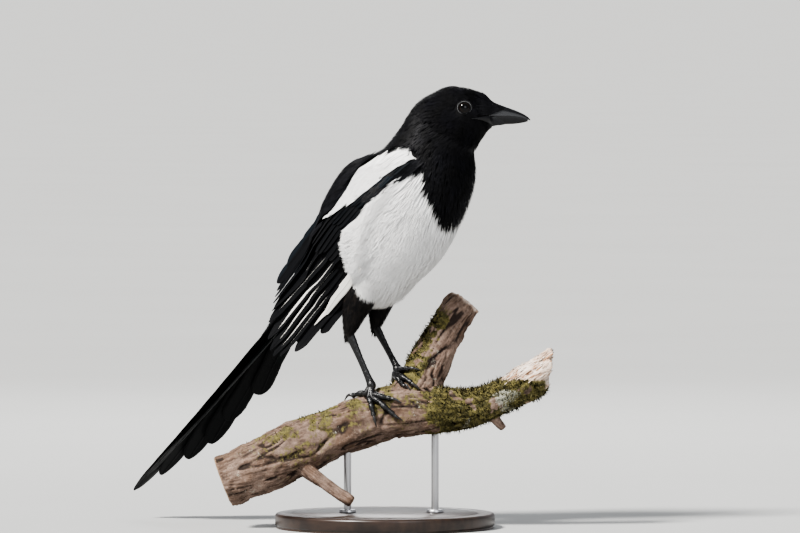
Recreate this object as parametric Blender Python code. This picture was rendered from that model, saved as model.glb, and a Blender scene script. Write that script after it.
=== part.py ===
"""Eurasian magpie gripping a cut length of branch, life size, on a plain display stand.

+X is the way the bird's body faces, +Y its left side and +Z up. The origin is the centre of
the stand's underside. Tables and sizes are in millimetres and degrees, meshes in metres.
"""

import math
import random

import bmesh
import bpy
import numpy as np
from mathutils import Matrix, Vector
from mathutils.bvhtree import BVHTree

MM = 0.001
SHARP_ANGLE = 38.0
GAP = 0.3

# Body. Each ring is (turn, forward, height, lean, half width, half depth). Forward is measured
# from the stand's centre to the ring's centre, in a plane that turns about the neck's pivot.
NECK_PIVOT_X = 57.0
BODY_RINGS = [
    (0, -60.0, 205.4, 46, 11.5, 11.7),
    (0, -51.2, 206.0, 40, 19, 19.6),
    (0, -41.0, 207.4, 38, 27, 27.8),
    (0, -29.6, 210.4, 39.7, 34, 35.7),
    (0, -17.0, 218.8, 42.1, 38.5, 42),
    (0, -3.6, 231.8, 46.1, 41.5, 46.4),
    (0, 9.4, 247.0, 48.7, 43, 48.8),
    (0, 23.9, 266.1, 51, 42.5, 47),
    (0, 38.5, 284.3, 59, 39, 40.4),
    (0, 45.4, 298.8, 65, 34, 36.1),
    (8, 49, 310.3, 67, 29.5, 31.2),
    (18, 53.9, 319, 63, 25.5, 30.7),
    (26, 59.3, 326.4, 57, 22, 29.3),
    (30, 66.6, 332, 51, 19.3, 26.7),
    (30, 73.2, 335.7, 41, 17.2, 24),
    (30, 79.8, 336.5, 33, 15.2, 20),
    (30, 86, 335.5, 24, 12.6, 16.6),
    (30, 90.8, 333.7, 15, 9.6, 12.4),
]
BODY_SIDES = 24
RING_ROUNDNESS = 2.1
TORSO_END = 8.6
NECK_END = 11.6
HEAD_TURN = 30.0

# Bill, in the head's turned plane: (forward, ridge height, edge height, half width).
UPPER_BILL = [
    (84, 342, 329.6, 7.2),
    (92, 341.6, 330.4, 6.2),
    (101.6, 338.3, 330.5, 4.7),
    (110.8, 335.0, 330.2, 3.4),
    (117.6, 332.0, 328.9, 2.1),
    (121.6, 329.4, 327.2, 1.1),
    (123.4, 327.4, 326.6, 0.35),
]
LOWER_BILL = [
    (84, 329.3, 320.3, 6.8),
    (92, 330.1, 321.6, 5.7),
    (101.6, 330.2, 323.4, 4.2),
    (110.8, 329.9, 323.9, 3.0),
    (117.6, 328.6, 324.9, 1.7),
    (121.4, 326.9, 325.9, 0.5),
]
BILL_SIDES = 12
BRISTLES_PER_SIDE = 4
BRISTLE_LENGTH = 15.0

# Eye, placed by its forward distance and height in the head's plane.
EYE_FORWARD = 70.8
EYE_HEIGHT = 337.2
EYE_RADIUS = 6.0
EYE_PROUD = 1.7
LID_RADIUS = 5.1
LID_THICKNESS = 1.0

# Folded wing, laid out in the torso's side plane: s runs tailward from the shoulder, h dorsally.
SHOULDER_X = 35.0
SHOULDER_Z = 285.4
TORSO_PITCH = 51.0
FEATHER_THICKNESS = 0.7
FEATHER_RISE = 1.0
# The share of a covert that is still sunk in the wing where it has risen to its full height.
VANE_SUNK = 0.33
WING_CLEARANCE = 1.1
PRIMARY_TIPS = [
    (171, 25.5), (177, 22.5), (182, 18), (187, 13),
    (189, 6.5), (189, -0.5), (184, -8), (170, -12.5), (145, -20.5),
]
SECONDARY_TIPS = [(165, 28.5), (157, 33)]
TERTIAL_TIPS = [(150.5, 41.5), (134, 44)]
# How far the left wing's lower edge is drawn up, to lie closer than the right one.
FAR_WING_CLOSED = 22.0
# The wing's fleshy part: rows of (s, lowest h, highest h).
WING_THICKNESS = 3.6
WING_ROWS = [
    (-15, -4, 4), (-7, -7, 15), (8, -3, 31), (30, 3, 40), (56, 3, 43),
    (84, -5, 44), (112, -6, 40),
]
# Coverts, scapulars last: count, first and last root, length, slope, width, lifts, pitch.
COVERT_ROWS = [
    (5, (56, 0), (62, 28), 38, 6, 9, (2.4, 4.6), 6.8),
    (4, (32, 3), (38, 23), 28, 6, 8.5, (2.4, 4.6), 6.6),
    (3, (8, 1), (13, 14), 26, 8, 8.5, (2.4, 4.6), 6.8),
    (2, (-11, -1), (-9, 5), 21, 10, 8, (2.2, 4.4), 6.0),
    (3, (30, 21), (26, 36), 50, 8, 10, (2.6, 6.2), 7.4),
    (3, (8, 15), (5, 30), 37, 10, 10, (2.6, 6.2), 7.4),
    (2, (-8, 9), (-6, 19), 31, 14, 10.5, (2.4, 6.2), 8.0),
]

# Tail, from its root: feather lengths from the central pair outwards, fan angles and offsets.
TAIL_PITCH = 46.5
TAIL_ARCH = 20.0
TAIL_LEANS = [0.0, 0.5, 0.8, 1.0, 1.0, 1.0]
TAIL_TOP = 0.6
TAIL_STEP = 1.1
TAIL_BOW = -1.6
TAIL_LENGTHS = [252, 232, 209, 187, 160, 127]
TAIL_SPREAD = [3.5, 13, 24, 30, 27.5, 34.5]
TAIL_OFFSETS = [1.2, 2.2, 3.0, 3.6, 4.3, 5.0]
TAIL_WIDTHS = [19, 21, 23, 23, 22, 21]
# The core: rows of (distance, half width, half depth, level).
TAIL_CORE = [(8, 11.3, 10.2, 0.0), (22, 11.5, 8.0, -0.6), (40, 11, 6.0, -1.6)]
# Upper and under coverts: level at the root, length, change of level.
TAIL_COVERTS = [(8.0, 52, -4.5), (-7.5, 76, 1.0)]

# Legs: ankles and feet as (x, y), with the ankles' heights.
ANKLES = {"right": (-23.0, -18.0, 156.5), "left": (-19.5, 18.5, 160.0)}
FEET = {"right": (-6.5, -14.0), "left": (3.5, 14.5)}
THIGH_ROOT = {"right": (-9.0, -20.0, 199.0), "left": (-12.0, 20.5, 202.0)}
THIGH_RADII = [17, 16.5, 15, 12.5, 9.2, 4.4]
TARSUS_RADII = [3.3, 2.5, 2.2, 2.15, 2.3, 2.9]
TOE_RADIUS = 2.35
TOE_END_RADIUS = 1.7
TOE_CLEARANCE = 0.42
CLAW_LENGTH = 9.5
# Toes: name, length, spread from straight ahead, for each foot.
TOES = {
    "right": [("inner", 19, 2), ("middle", 27, -30), ("outer", 20, -62), ("hind", 15, 172)],
    "left": [("inner", 18, -6), ("middle", 26, -34), ("outer", 21, -58), ("hind", 14, 172)],
}

# Perch, in a frame turned to run across the bird: (along, away, height, radius).
PERCH_TURN = 30.0
BRANCH = [
    (-130, -3, 37, 20.5),
    (-116, -3, 42.5, 21.5),
    (-92, -2, 52.4, 22.5),
    (-68, -1, 64.5, 22),
    (-44, 0, 75, 20),
    (-20, 1, 84.5, 20.5),
    (4, 1, 92, 21),
    (28, 0, 95, 20.5),
    (48, -2, 94.5, 17.6),
    (68, -4, 95.5, 15.6),
    (92, -6, 105, 13.6),
    (112, -8, 116, 14.6),
    (126, -9, 124, 14.2),
    (140, -10, 133.5, 14),
]
# Where the thick end is broken off: a point (along, away, height) and the way it faces.
BREAK = ((132.5, 0, 128), (1.0, 0, -0.13))
FORK = [
    (14, 4, 86, 16),
    (22, 7, 102, 20.5),
    (31, 10, 122, 17.5),
    (43, 15, 147, 14.5),
    (55, 19, 168, 14.6),
    (64.5, 22, 180, 13.8),
]
TORN = 2.6
TWIG = [
    (-74, -8, 58, 8),
    (-62, -14, 47, 6.6),
    (-50, -19, 38, 5.4),
    (-38, -22, 29.5, 5.2),
    (-26, -24, 22, 5.0),
]
SNAG = [(84, -4, 92, 4.6), (90, -5, 85, 4.0), (95, -6, 79.5, 3.4)]
BARK_SIDES = 16
BARK_ROUGHNESS = 0.045

# Stand.
BASE_RADIUS = 88.0
BASE_THICKNESS = 12.0
BASE_EDGE = 2.5
ROD_RADIUS = 3.0
ROD_ALONG = [-30.0, 40.0]

rng = random.Random(7)


def clear_scene():
    for obj in list(bpy.data.objects):
        bpy.data.objects.remove(obj)


def make_collection(name):
    made = bpy.data.collections.new(name)
    bpy.context.scene.collection.children.link(made)
    return made


def make_material(name, colour, roughness, metallic=0.0):
    made = bpy.data.materials.new(name)
    made.use_nodes = True
    shader = made.node_tree.nodes["Principled BSDF"]
    shader.inputs["Base Color"].default_value = (*colour, 1.0)
    shader.inputs["Roughness"].default_value = roughness
    shader.inputs["Metallic"].default_value = metallic
    return made


def mesh_object(name, points, faces, collection, material=None):
    """An object from points in millimetres."""
    mesh = bpy.data.meshes.new(name)
    mesh.from_pydata([tuple(c * MM for c in p) for p in points], [], faces)
    mesh.update()
    obj = bpy.data.objects.new(name, mesh)
    collection.objects.link(obj)
    if material:
        mesh.materials.append(material)
    return obj


def loft(name, rings, collection, material=None):
    """A closed skin over rings of equal count, with a flat cap at each end."""
    count = len(rings[0])
    points = [p for ring in rings for p in ring]
    faces = []
    for i in range(len(rings) - 1):
        for j in range(count):
            k = (j + 1) % count
            a, b = i * count, (i + 1) * count
            faces.append((a + j, a + k, b + k, b + j))
    faces.append(tuple(reversed(range(count))))
    faces.append(tuple(range(len(points) - count, len(points))))
    obj = mesh_object(name, points, faces, collection, material)
    face_outwards(obj)
    return obj


def face_outwards(obj):
    mesh = bmesh.new()
    mesh.from_mesh(obj.data)
    bmesh.ops.triangulate(mesh, faces=mesh.faces)
    bmesh.ops.recalc_face_normals(mesh, faces=mesh.faces)
    if mesh.calc_volume(signed=True) < 0:
        bmesh.ops.reverse_faces(mesh, faces=mesh.faces)
    mesh.to_mesh(obj.data)
    mesh.free()


def smooth_table(table, steps):
    """The table's rows with steps - 1 rows between each pair, on a Catmull-Rom curve."""
    rows = np.array(table, float)
    padded = np.vstack([2 * rows[0] - rows[1], rows, 2 * rows[-1] - rows[-2]])
    made = []
    for i in range(1, len(padded) - 2):
        p0, p1, p2, p3 = padded[i - 1 : i + 3]
        for k in range(steps):
            t = k / steps
            made.append(
                0.5 * (2 * p1 + (p2 - p0) * t + (2 * p0 - 5 * p1 + 4 * p2 - p3) * t * t
                       + (3 * p1 - p0 - 3 * p2 + p3) * t**3)
            )
    made.append(padded[-2])
    return np.array(made)


def body_row(at):
    """The body table's row at a fractional ring number."""
    steps = 40
    fine = smooth_table(BODY_RINGS, steps)
    return fine[min(len(fine) - 1, max(0, round(at * steps)))]


def head_point(forward, height, side, turn=HEAD_TURN):
    """A point in the plane that turns about the neck's pivot. Side is positive to the left."""
    angle = math.radians(turn)
    reach = forward - NECK_PIVOT_X
    x = NECK_PIVOT_X + reach * math.cos(angle) - side * math.sin(angle)
    return Vector((x, reach * math.sin(angle) + side * math.cos(angle), height))


def body_ring(row, sides=BODY_SIDES, shift=0.0):
    turn, forward, height, lean, half_width, half_depth = row
    angle = math.radians(lean)
    forward += shift * math.cos(angle)
    height += shift * math.sin(angle)
    ring = []
    for j in range(sides):
        a = 2 * math.pi * j / sides
        across, up = math.sin(a), math.cos(a)
        power = 2 / RING_ROUNDNESS
        across = math.copysign(abs(across) ** power, across) * half_width
        up = math.copysign(abs(up) ** power, up) * half_depth
        ring.append(
            head_point(forward - up * math.sin(angle), height + up * math.cos(angle), across, turn)
        )
    return ring


def body_stretch(name, start, end, count, collection, material, trims=(0.0, 0.0)):
    """The body's skin from one fractional ring to another, moved in by a trim at each end."""
    ats = np.linspace(start, end, count)
    rings = [body_ring(body_row(at)) for at in ats]
    rings[0] = body_ring(body_row(start), shift=trims[0])
    rings[-1] = body_ring(body_row(end), shift=-trims[1])
    return loft(name, rings, collection, material)


def round_off(rings, share):
    """Closes the last ring with a smaller one, so that the end is domed."""
    last = rings[-1]
    centre = sum(last, Vector()) / len(last)
    axis = centre - sum(rings[-2], Vector()) / len(last)
    return rings + [[centre + (p - centre) * share + axis.normalized() * 2.0 for p in last]]


def baked(obj):
    """A mesh of the object as its modifiers leave it."""
    bpy.context.view_layer.update()
    graph = bpy.context.evaluated_depsgraph_get()
    return bpy.data.meshes.new_from_object(obj.evaluated_get(graph))


def boolean(obj, operation, other, solver="MANIFOLD"):
    """Applies one Boolean of an object, or of a collection's objects, to obj."""
    modifier = obj.modifiers.new("join", "BOOLEAN")
    modifier.operation = operation
    modifier.solver = solver
    if isinstance(other, bpy.types.Collection):
        modifier.operand_type = "COLLECTION"
        modifier.collection = other
    else:
        modifier.object = other
    mesh = baked(obj)
    obj.modifiers.remove(modifier)
    old = obj.data
    obj.data = mesh
    bpy.data.meshes.remove(old)
    face_outwards(obj)


def keep_largest(obj):
    """Leaves only the closed surface that holds the most."""
    mesh = bmesh.new()
    mesh.from_mesh(obj.data)
    mesh.faces.ensure_lookup_table()
    left = set(mesh.faces)
    shells = []
    while left:
        todo = [left.pop()]
        shell = list(todo)
        while todo:
            for edge in todo.pop().edges:
                for face in edge.link_faces:
                    if face in left:
                        left.remove(face)
                        shell.append(face)
                        todo.append(face)
        shells.append(shell)

    def held(shell):
        return abs(sum(f.calc_center_median().dot(f.normal) * f.calc_area() for f in shell))

    shells.sort(key=held, reverse=True)
    loose = [v for shell in shells[1:] for f in shell for v in f.verts]
    bmesh.ops.delete(mesh, geom=list(set(loose)), context="VERTS")
    mesh.to_mesh(obj.data)
    mesh.free()


def fuse(name, pieces, material):
    """One closed body from overlapping ones, the first of which gives it its place."""
    body = pieces[0]
    if len(pieces) > 1:
        joined = make_collection("joined")
        for piece in pieces[1:]:
            for owner in list(piece.users_collection):
                owner.objects.unlink(piece)
            joined.objects.link(piece)
        boolean(body, "UNION", joined)
        for piece in pieces[1:]:
            bpy.data.objects.remove(piece)
        bpy.data.collections.remove(joined)
    body.name = name
    body.data.materials.clear()
    body.data.materials.append(material)
    keep_largest(body)
    return body


def grown(obj, by, name="grown"):
    """A copy of obj with every face moved out, for cutting a gap round it."""
    mesh = bmesh.new()
    mesh.from_mesh(obj.data)
    mesh.normal_update()
    moved = {}
    for vert in mesh.verts:
        push = Vector()
        for face in vert.link_faces:
            push += face.normal * face.calc_area()
        push.normalize()
        least = min((push.dot(f.normal) for f in vert.link_faces), default=1.0)
        moved[vert] = vert.co + push * by * MM / max(0.5, least)
    for vert, co in moved.items():
        vert.co = co
    data = bpy.data.meshes.new(name)
    mesh.to_mesh(data)
    mesh.free()
    made = bpy.data.objects.new(name, data)
    cutters.objects.link(made)
    made.hide_render = True
    made.display_type = "WIRE"
    return made


def cut_clear(obj, *neighbours, by=GAP):
    """Cuts obj back from its neighbours, to leave the gap that touching meshes keep."""
    for neighbour in neighbours:
        cutter = grown(neighbour, by)
        boolean(obj, "DIFFERENCE", cutter)
        bpy.data.objects.remove(cutter)
    keep_largest(obj)


def mirrored(obj, name):
    """The object, moved across the bird's middle plane."""
    obj.data.transform(Matrix.Scale(-1, 4, Vector((0, 1, 0))))
    face_outwards(obj)
    obj.name = name
    return obj


def tube(name, path, radii, sides, collection, material=None, flatten=1.0):
    """A closed tube of changing radius along a path. Flatten squeezes it across its side."""
    rings = []
    up = Vector((0, 0, 1))
    for i, point in enumerate(path):
        ahead = path[min(i + 1, len(path) - 1)] - path[max(i - 1, 0)]
        ahead.normalize()
        side = ahead.cross(up)
        if side.length < 0.2:
            side = ahead.cross(Vector((0, 1, 0)))
        side.normalize()
        top = side.cross(ahead).normalized()
        rings.append([
            point + (side * math.cos(a) * flatten + top * math.sin(a)) * radii[i]
            for a in (2 * math.pi * k / sides for k in range(sides))
        ])
    return loft(name, rings, collection, material)


def vane(name, frames, widths, thickness, collection):
    """A closed flat blade. Each frame is (centre, side, up), and widths are whole widths.

    Both faces are split into triangles alike, so that a curved blade never crosses itself.
    """
    points, faces = [], []
    for (centre, side, up), width in zip(frames, widths):
        for lift in (0.5, -0.5):
            for across in (-0.5, 0.5):
                points.append(centre + side * width * across + up * thickness * lift)
    for i in range(len(frames) - 1):
        a, b = 4 * i, 4 * i + 4
        faces += [(a, a + 1, b + 1), (a, b + 1, b)]
        faces += [(a + 3, a + 2, b + 2), (a + 3, b + 2, b + 3)]
        faces += [(a + 1, a + 3, b + 3), (a + 1, b + 3, b + 1)]
        faces += [(a + 2, a, b), (a + 2, b, b + 2)]
    e = 4 * len(frames) - 4
    faces += [(0, 2, 3), (0, 3, 1), (e, e + 1, e + 3), (e, e + 3, e + 2)]
    obj = mesh_object(name, points, faces, collection)
    face_outwards(obj)
    return obj


# Body: torso, neck and head, parted across one smooth skin.


def build_body():
    half = GAP / 2
    torso = body_stretch("torso", 0, TORSO_END, 17, parts, white, (0.0, half))
    neck = body_stretch("neck", TORSO_END, NECK_END, 7, parts, black, (half, half))
    ats = np.linspace(NECK_END, len(BODY_RINGS) - 1, 11)
    rings = [body_ring(body_row(at)) for at in ats]
    rings[0] = body_ring(body_row(NECK_END), shift=half)
    head = loft("head", round_off(rings, 0.75), parts, black)
    return torso, neck, head


def smooth_body_tree():
    """The body's skin, finely divided, for placing what lies on it."""
    fine = smooth_table(BODY_RINGS, 8)
    sides = 96
    points = [p for row in fine for p in body_ring(row, sides)]
    faces = []
    for i in range(len(fine) - 1):
        for j in range(sides):
            k = (j + 1) % sides
            faces.append((i * sides + j, i * sides + k, (i + 1) * sides + k, (i + 1) * sides + j))
    return BVHTree.FromPolygons(points, faces)


def bill_half(name, table, keel):
    """One mandible. Its cutting edges are level and its keel is rounded: up or down."""
    rings = []
    for forward, high, low, half_width in table:
        ring = []
        for j in range(BILL_SIDES):
            a = 2 * math.pi * j / BILL_SIDES
            side = math.sin(a)
            up = math.cos(a) * keel
            flat = low if keel > 0 else high
            round_end = high if keel > 0 else low
            share = max(0.0, up * keel) ** 0.85
            height = flat + (round_end - flat) * share
            inset = 0.72 if up * keel < -0.3 else 1.0
            ring.append(head_point(forward, height, side * half_width * inset))
        rings.append(ring)
    return loft(name, rings, parts, bill_black)


def build_bill():
    return bill_half("bill_upper", UPPER_BILL, 1), bill_half("bill_lower", LOWER_BILL, -1)


def surface_hit(tree, start, direction):
    place, normal, _, _ = tree.ray_cast(start, direction)
    return place, normal


def eye_seat(side):
    """The eye's place on the head's skin, and the way that it looks."""
    start = head_point(EYE_FORWARD, EYE_HEIGHT, 60 * side)
    inward = head_point(EYE_FORWARD, EYE_HEIGHT, -60 * side) - start
    place, normal = surface_hit(body_tree, start, inward.normalized())
    out = (start - place).normalized()
    if normal.dot(out) < 0:
        normal = -normal
    return place, (normal + out).normalized()


def build_eye(name, side):
    place, look = eye_seat(side)
    bpy.ops.mesh.primitive_uv_sphere_add(segments=14, ring_count=8, radius=EYE_RADIUS * MM)
    eye = bpy.context.object
    turn = look.to_track_quat("Z", "Y").to_matrix().to_4x4()
    centre = place - look * (EYE_RADIUS - EYE_PROUD)
    eye.data.transform(Matrix.Translation(centre * MM) @ turn)
    eye.name = name
    move_to(eye, parts)
    eye.data.materials.append(eye_dark)
    return eye


def build_lid(side):
    place, look = eye_seat(side)
    bpy.ops.mesh.primitive_torus_add(
        major_segments=14, minor_segments=5, major_radius=LID_RADIUS * MM,
        minor_radius=LID_THICKNESS * MM)
    lid = bpy.context.object
    turn = look.to_track_quat("Z", "Y").to_matrix().to_4x4()
    lid.data.transform(Matrix.Translation((place - look * 0.35) * MM) @ turn)
    move_to(lid, scraps)
    return lid


def move_to(obj, collection):
    for owner in list(obj.users_collection):
        owner.objects.unlink(obj)
    collection.objects.link(obj)
    face_outwards(obj)


def build_bristles(bill):
    """Stiff feathers that point forward over the nostrils, from the brow onto the bill."""
    tree = tree_of(bill)
    made = []
    for side in (-1, 1):
        for i in range(BRISTLES_PER_SIDE):
            share = i / (BRISTLES_PER_SIDE - 1)
            height = 343.6 - 10.5 * share
            across = side * (0.9 + 5.4 * math.sin(share * math.pi / 2))
            length = BRISTLE_LENGTH * (1 - 0.28 * share)
            start = 86.0
            frames = []
            for t in (0.0, 0.5, 1.0):
                forward = start + length * t
                guess = head_point(forward, height - 5.0 * t, across * (1 - 0.25 * t))
                near, normal, _, _ = tree.find_nearest(guess)
                out = (guess - head_point(forward, 332, 0)).normalized()
                if normal.dot(out) < 0:
                    normal = -normal
                centre = near + normal * (0.75 + 0.25 * (1 - t))
                if t == 0.0:
                    centre = guess
                ahead = head_point(forward + 1, 0, 0) - head_point(forward, 0, 0)
                frames.append((centre, ahead.cross(normal).normalized(), normal))
            made.append(vane("bristle", frames, [2.8, 2.9, 0.5], 0.8, scraps))
    return made


def tree_of(obj):
    """A search tree of an object's mesh, in millimetres."""
    points = [v.co / MM for v in obj.data.vertices]
    return BVHTree.FromPolygons(points, [tuple(p.vertices) for p in obj.data.polygons])


# Wings: vanes laid over the torso's side and, past it, on the plane of the folded wing.


def torso_frame():
    a = math.radians(TORSO_PITCH)
    tailward = Vector((-math.cos(a), 0, -math.sin(a)))
    dorsal = Vector((-math.sin(a), 0, math.cos(a)))
    return Vector((SHOULDER_X, 0, SHOULDER_Z)), tailward, dorsal


def step_up(value, low, high):
    t = min(1.0, max(0.0, (value - low) / (high - low)))
    return t * t * (3 - 2 * t)


def wing_side(s, h):
    """How far out from the middle plane the folded wing's inner face lies, at (s, h)."""
    origin, tailward, dorsal = torso_frame()
    place = origin + tailward * s + dorsal * h
    hit, _ = surface_hit(body_tree, place + Vector((0, -90, 0)), Vector((0, 1, 0)))
    torso_side = -hit.y if hit and hit.y < 0 else 0.0
    plate = 8.0 + 13.0 * step_up(43 - h, 0, 22) + 4.0 * step_up(s, 165, 195)
    high, low = max(torso_side, plate), min(torso_side, plate)
    soft = 4.0
    return high + WING_CLEARANCE + soft * math.exp(-(high - low) / soft) * 0.5


def wing_point(s, h, lift):
    """A point of the right wing at a height above its inner face, and that face's normal."""
    origin, tailward, dorsal = torso_frame()
    reach = 1.5
    out = wing_side(s, h)
    slope_s = (wing_side(s + reach, h) - wing_side(s - reach, h)) / (2 * reach)
    slope_h = (wing_side(s, h + reach) - wing_side(s, h - reach)) / (2 * reach)
    slope_s = max(-1.4, min(1.4, slope_s))
    slope_h = max(-1.4, min(1.4, slope_h))
    normal = (Vector((0, -1, 0)) - tailward * slope_s - dorsal * slope_h).normalized()
    return origin + tailward * s + dorsal * h - Vector((0, out, 0)) + normal * lift, normal


def fold(s, h, closed):
    """Where a place (s, h) of the wing goes when its lower edge is drawn up and shut."""
    return s, h + closed * step_up(s, -20, 150) * min(1.3, max(0.0, (34 - h) / 50))


def wing_vane(root, tip, width, lifts, profile, pitches, closed, steps=5):
    """A feather of the folded wing from root to tip, both (s, h), rising between two lifts.

    Pitches are its distances from the next feather of its row, at root and tip. It is tilted
    so that its lower edge rides over that feather's upper edge.
    """
    frames, widths = [], []
    run = Vector(fold(*tip, closed)) - Vector(fold(*root, closed))
    across = Vector((-run.y, run.x)).normalized()
    for i in range(steps):
        t = i / (steps - 1)
        s, h = fold(root[0] + (tip[0] - root[0]) * t, root[1] + (tip[1] - root[1]) * t, closed)
        lift = lifts[0] + (lifts[1] - lifts[0]) * min(1.0, t / VANE_SUNK)
        centre, normal = wing_point(s, h, lift)
        edge, _ = wing_point(s + across.x * 3, h + across.y * 3, lift)
        side = (edge - centre).normalized()
        up = (normal - side * normal.dot(side)).normalized()
        pitch = pitches[0] + (pitches[1] * (1 - closed / 55) - pitches[0]) * t
        tilt = math.atan(min(0.45, FEATHER_RISE / pitch))
        frames.append((centre, side * math.cos(tilt) - up * math.sin(tilt),
                       up * math.cos(tilt) + side * math.sin(tilt)))
        widths.append(width * profile(t))
    return vane("vane", frames, widths, FEATHER_THICKNESS, scraps)


def flight_profile(t):
    return (0.45 + 0.55 * step_up(t, 0.0, 0.45)) * (1 - step_up(t, 0.82, 1.04) * 0.72)


def covert_profile(t):
    return (0.7 + 0.3 * step_up(t, 0.0, 0.4)) * (1 - step_up(t, 0.6, 1.05) * 0.6)


def wing_plate(rows, thickness, closed):
    """A plate over rows of (s, lowest h, highest h), the wing's flesh and smallest feathers."""
    across = 4
    rings = []
    for s, low, high in rows:
        levels = [low + (high - low) * k / across for k in range(across + 1)]
        levels = [fold(s, h, closed)[1] for h in levels]
        outer = [wing_point(s, h, thickness)[0] for h in levels]
        inner = [wing_point(s, h, 0.0)[0] for h in reversed(levels)]
        rings.append(outer + inner)
    return loft("wing_right", rings, parts)


def row_of(count, first, last):
    """Evenly spaced places between two ends of a row, with each one's share of the way."""
    for i in range(count):
        share = i / (count - 1)
        yield share, (first[0] + (last[0] - first[0]) * share, first[1] + (last[1] - first[1]) * share)


def build_wing(closed):
    pieces = [wing_plate(WING_ROWS, WING_THICKNESS, closed)]
    for i, (_, root) in enumerate(row_of(len(PRIMARY_TIPS), (64, 24), (66, -9))):
        pieces.append(wing_vane(root, PRIMARY_TIPS[i], 11.5, (1.8, 1.8), flight_profile,
                                (3.6, 5.2), closed))
    for i, (_, root) in enumerate(row_of(len(SECONDARY_TIPS), (62, 28), (60, 34))):
        pieces.append(wing_vane(root, SECONDARY_TIPS[i], 11.5, (1.8, 2.8), flight_profile,
                                (3, 3.4), closed))
    for i, (_, root) in enumerate(row_of(len(TERTIAL_TIPS), (56, 35), (50, 36))):
        pieces.append(wing_vane(root, TERTIAL_TIPS[i], 12, (2.4, 4.6), flight_profile,
                                (3, 4), closed))
    for count, first, last, length, slope, width, lifts, pitch in COVERT_ROWS:
        for _, root in row_of(count, first, last):
            turn = math.radians(slope + rng.uniform(-1, 1))
            reach = length * rng.uniform(0.95, 1.05)
            tip = (root[0] + reach * math.cos(turn), root[1] + reach * math.sin(turn))
            pieces.append(wing_vane(root, tip, width, lifts, covert_profile, (pitch, pitch),
                                    closed, steps=4))
    wing = fuse("wing_right", pieces, black)
    cut_clear(wing, torso, neck, tail)
    return wing


# Tail: a short core under its coverts, with twelve graduated feathers.


def tail_frame():
    """Where the tail starts on the torso's end, the way it points and its upper side."""
    a = math.radians(TAIL_PITCH)
    back = Vector((-math.cos(a), 0, -math.sin(a)))
    top = Vector((-math.sin(a), 0, math.cos(a)))
    _, forward, height, *_ = BODY_RINGS[0]
    return Vector((forward, 0, height)), back, top


def tail_core(rows):
    root, back, top = tail_frame()
    rings = [body_ring(BODY_RINGS[0], 16, -GAP)]
    for along, half_width, half_depth, level in rows:
        ring = []
        for j in range(16):
            a = 2 * math.pi * j / 16
            side = math.sin(a) * half_width
            up = level + math.cos(a) * half_depth - abs(side) * math.tan(math.radians(TAIL_ARCH)) * 0.6
            ring.append(root + back * along + Vector((0, side, 0)) + top * up)
        rings.append(ring)
    return loft("tail", rings, parts)


def tail_lateral(i, side):
    lean = math.radians(TAIL_ARCH) * TAIL_LEANS[i]
    return Vector((0, side * math.cos(lean), 0)) - tail_frame()[2] * math.sin(lean)


def tail_place(i, side, along):
    """The shaft of a tail feather at a distance from its root, and the way its web lies."""
    root, back, top = tail_frame()
    length = TAIL_LENGTHS[i]
    lateral = tail_lateral(i, side)
    t = along / length
    spread = TAIL_OFFSETS[i] + (TAIL_SPREAD[i] - TAIL_OFFSETS[i]) * t * t
    level = TAIL_TOP - TAIL_STEP * i + (TAIL_STEP * 1.3 if i == 0 and side > 0 else 0.0)
    level = level * (0.35 + 0.65 * min(1.0, along / 38))
    return root + back * along + lateral * spread + top * (level + TAIL_BOW * math.sin(math.pi * t))


def build_tail():
    root, back, top = tail_frame()
    pieces = [tail_core(TAIL_CORE)]
    for i, length in enumerate(TAIL_LENGTHS):
        for side in (-1, 1):
            lateral = tail_lateral(i, side)
            frames, widths = [], []
            steps = 6
            for k in range(steps):
                t = k / (steps - 1)
                along = 9 + (length - 9) * t
                centre = tail_place(i, side, along)
                ahead = (tail_place(i, side, along + 1) - tail_place(i, side, along - 1)).normalized()
                across = (lateral - ahead * lateral.dot(ahead)).normalized()
                frames.append((centre, across, across.cross(ahead).normalized()))
                shape = (0.18 + 0.82 * step_up(t, 0.0, 0.7)) * (1 - 0.75 * step_up(t, 0.86, 1.03))
                widths.append(TAIL_WIDTHS[i] * shape)
            pieces.append(vane("vane", frames, widths, 0.8, scraps))
    for level, reach, drop in TAIL_COVERTS:
        for side in (-1, 0, 1):
            frames = []
            for k in range(4):
                t = k / 3
                up = level + drop * t - abs(side) * (1 + 3 * t) * (1 if level > 0 else -0.5)
                across = Vector((0, side * (5 + 4 * t), 0))
                frames.append((root + back * (5 + reach * t) + across + top * up,
                               Vector((0, 1, 0)), top))
            pieces.append(vane("covert", frames, [9, 11, 9, 4], 1.2, scraps))
    return fuse("tail", pieces, black)


# Legs.


def build_thigh(side):
    ankle = Vector(ANKLES[side])
    hip = Vector(THIGH_ROOT[side])
    path = [hip.lerp(ankle, t) for t in np.linspace(0, 1, len(THIGH_RADII))]
    thigh = tube(f"thigh_{side}", path, THIGH_RADII, 14, parts, black, flatten=0.82)
    cut_clear(thigh, torso)
    return thigh


def build_leg(side, thigh):
    ankle = Vector(ANKLES[side])
    x, y = FEET[side]
    ground, _ = surface_hit(perch_tree, Vector((x, y, 400)), Vector((0, 0, -1)))
    hub = ground + Vector((0, 0, TOE_RADIUS + GAP + 1.6))
    down = (hub - ankle).normalized()
    start = ankle + down * (GAP + 0.2)
    end = hub - down * 3.4
    path = [start.lerp(end, t) for t in np.linspace(0, 1, len(TARSUS_RADII))]
    tarsus = tube(f"tarsus_{side}", path, TARSUS_RADII, 10, parts, horn, flatten=0.86)
    cut_clear(tarsus, thigh)

    foot, claws = build_foot(side, hub, down)
    cut_clear(foot, tarsus, perch)
    for claw in claws:
        cut_clear(claw, foot, perch)
    return tarsus, foot, claws


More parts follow.
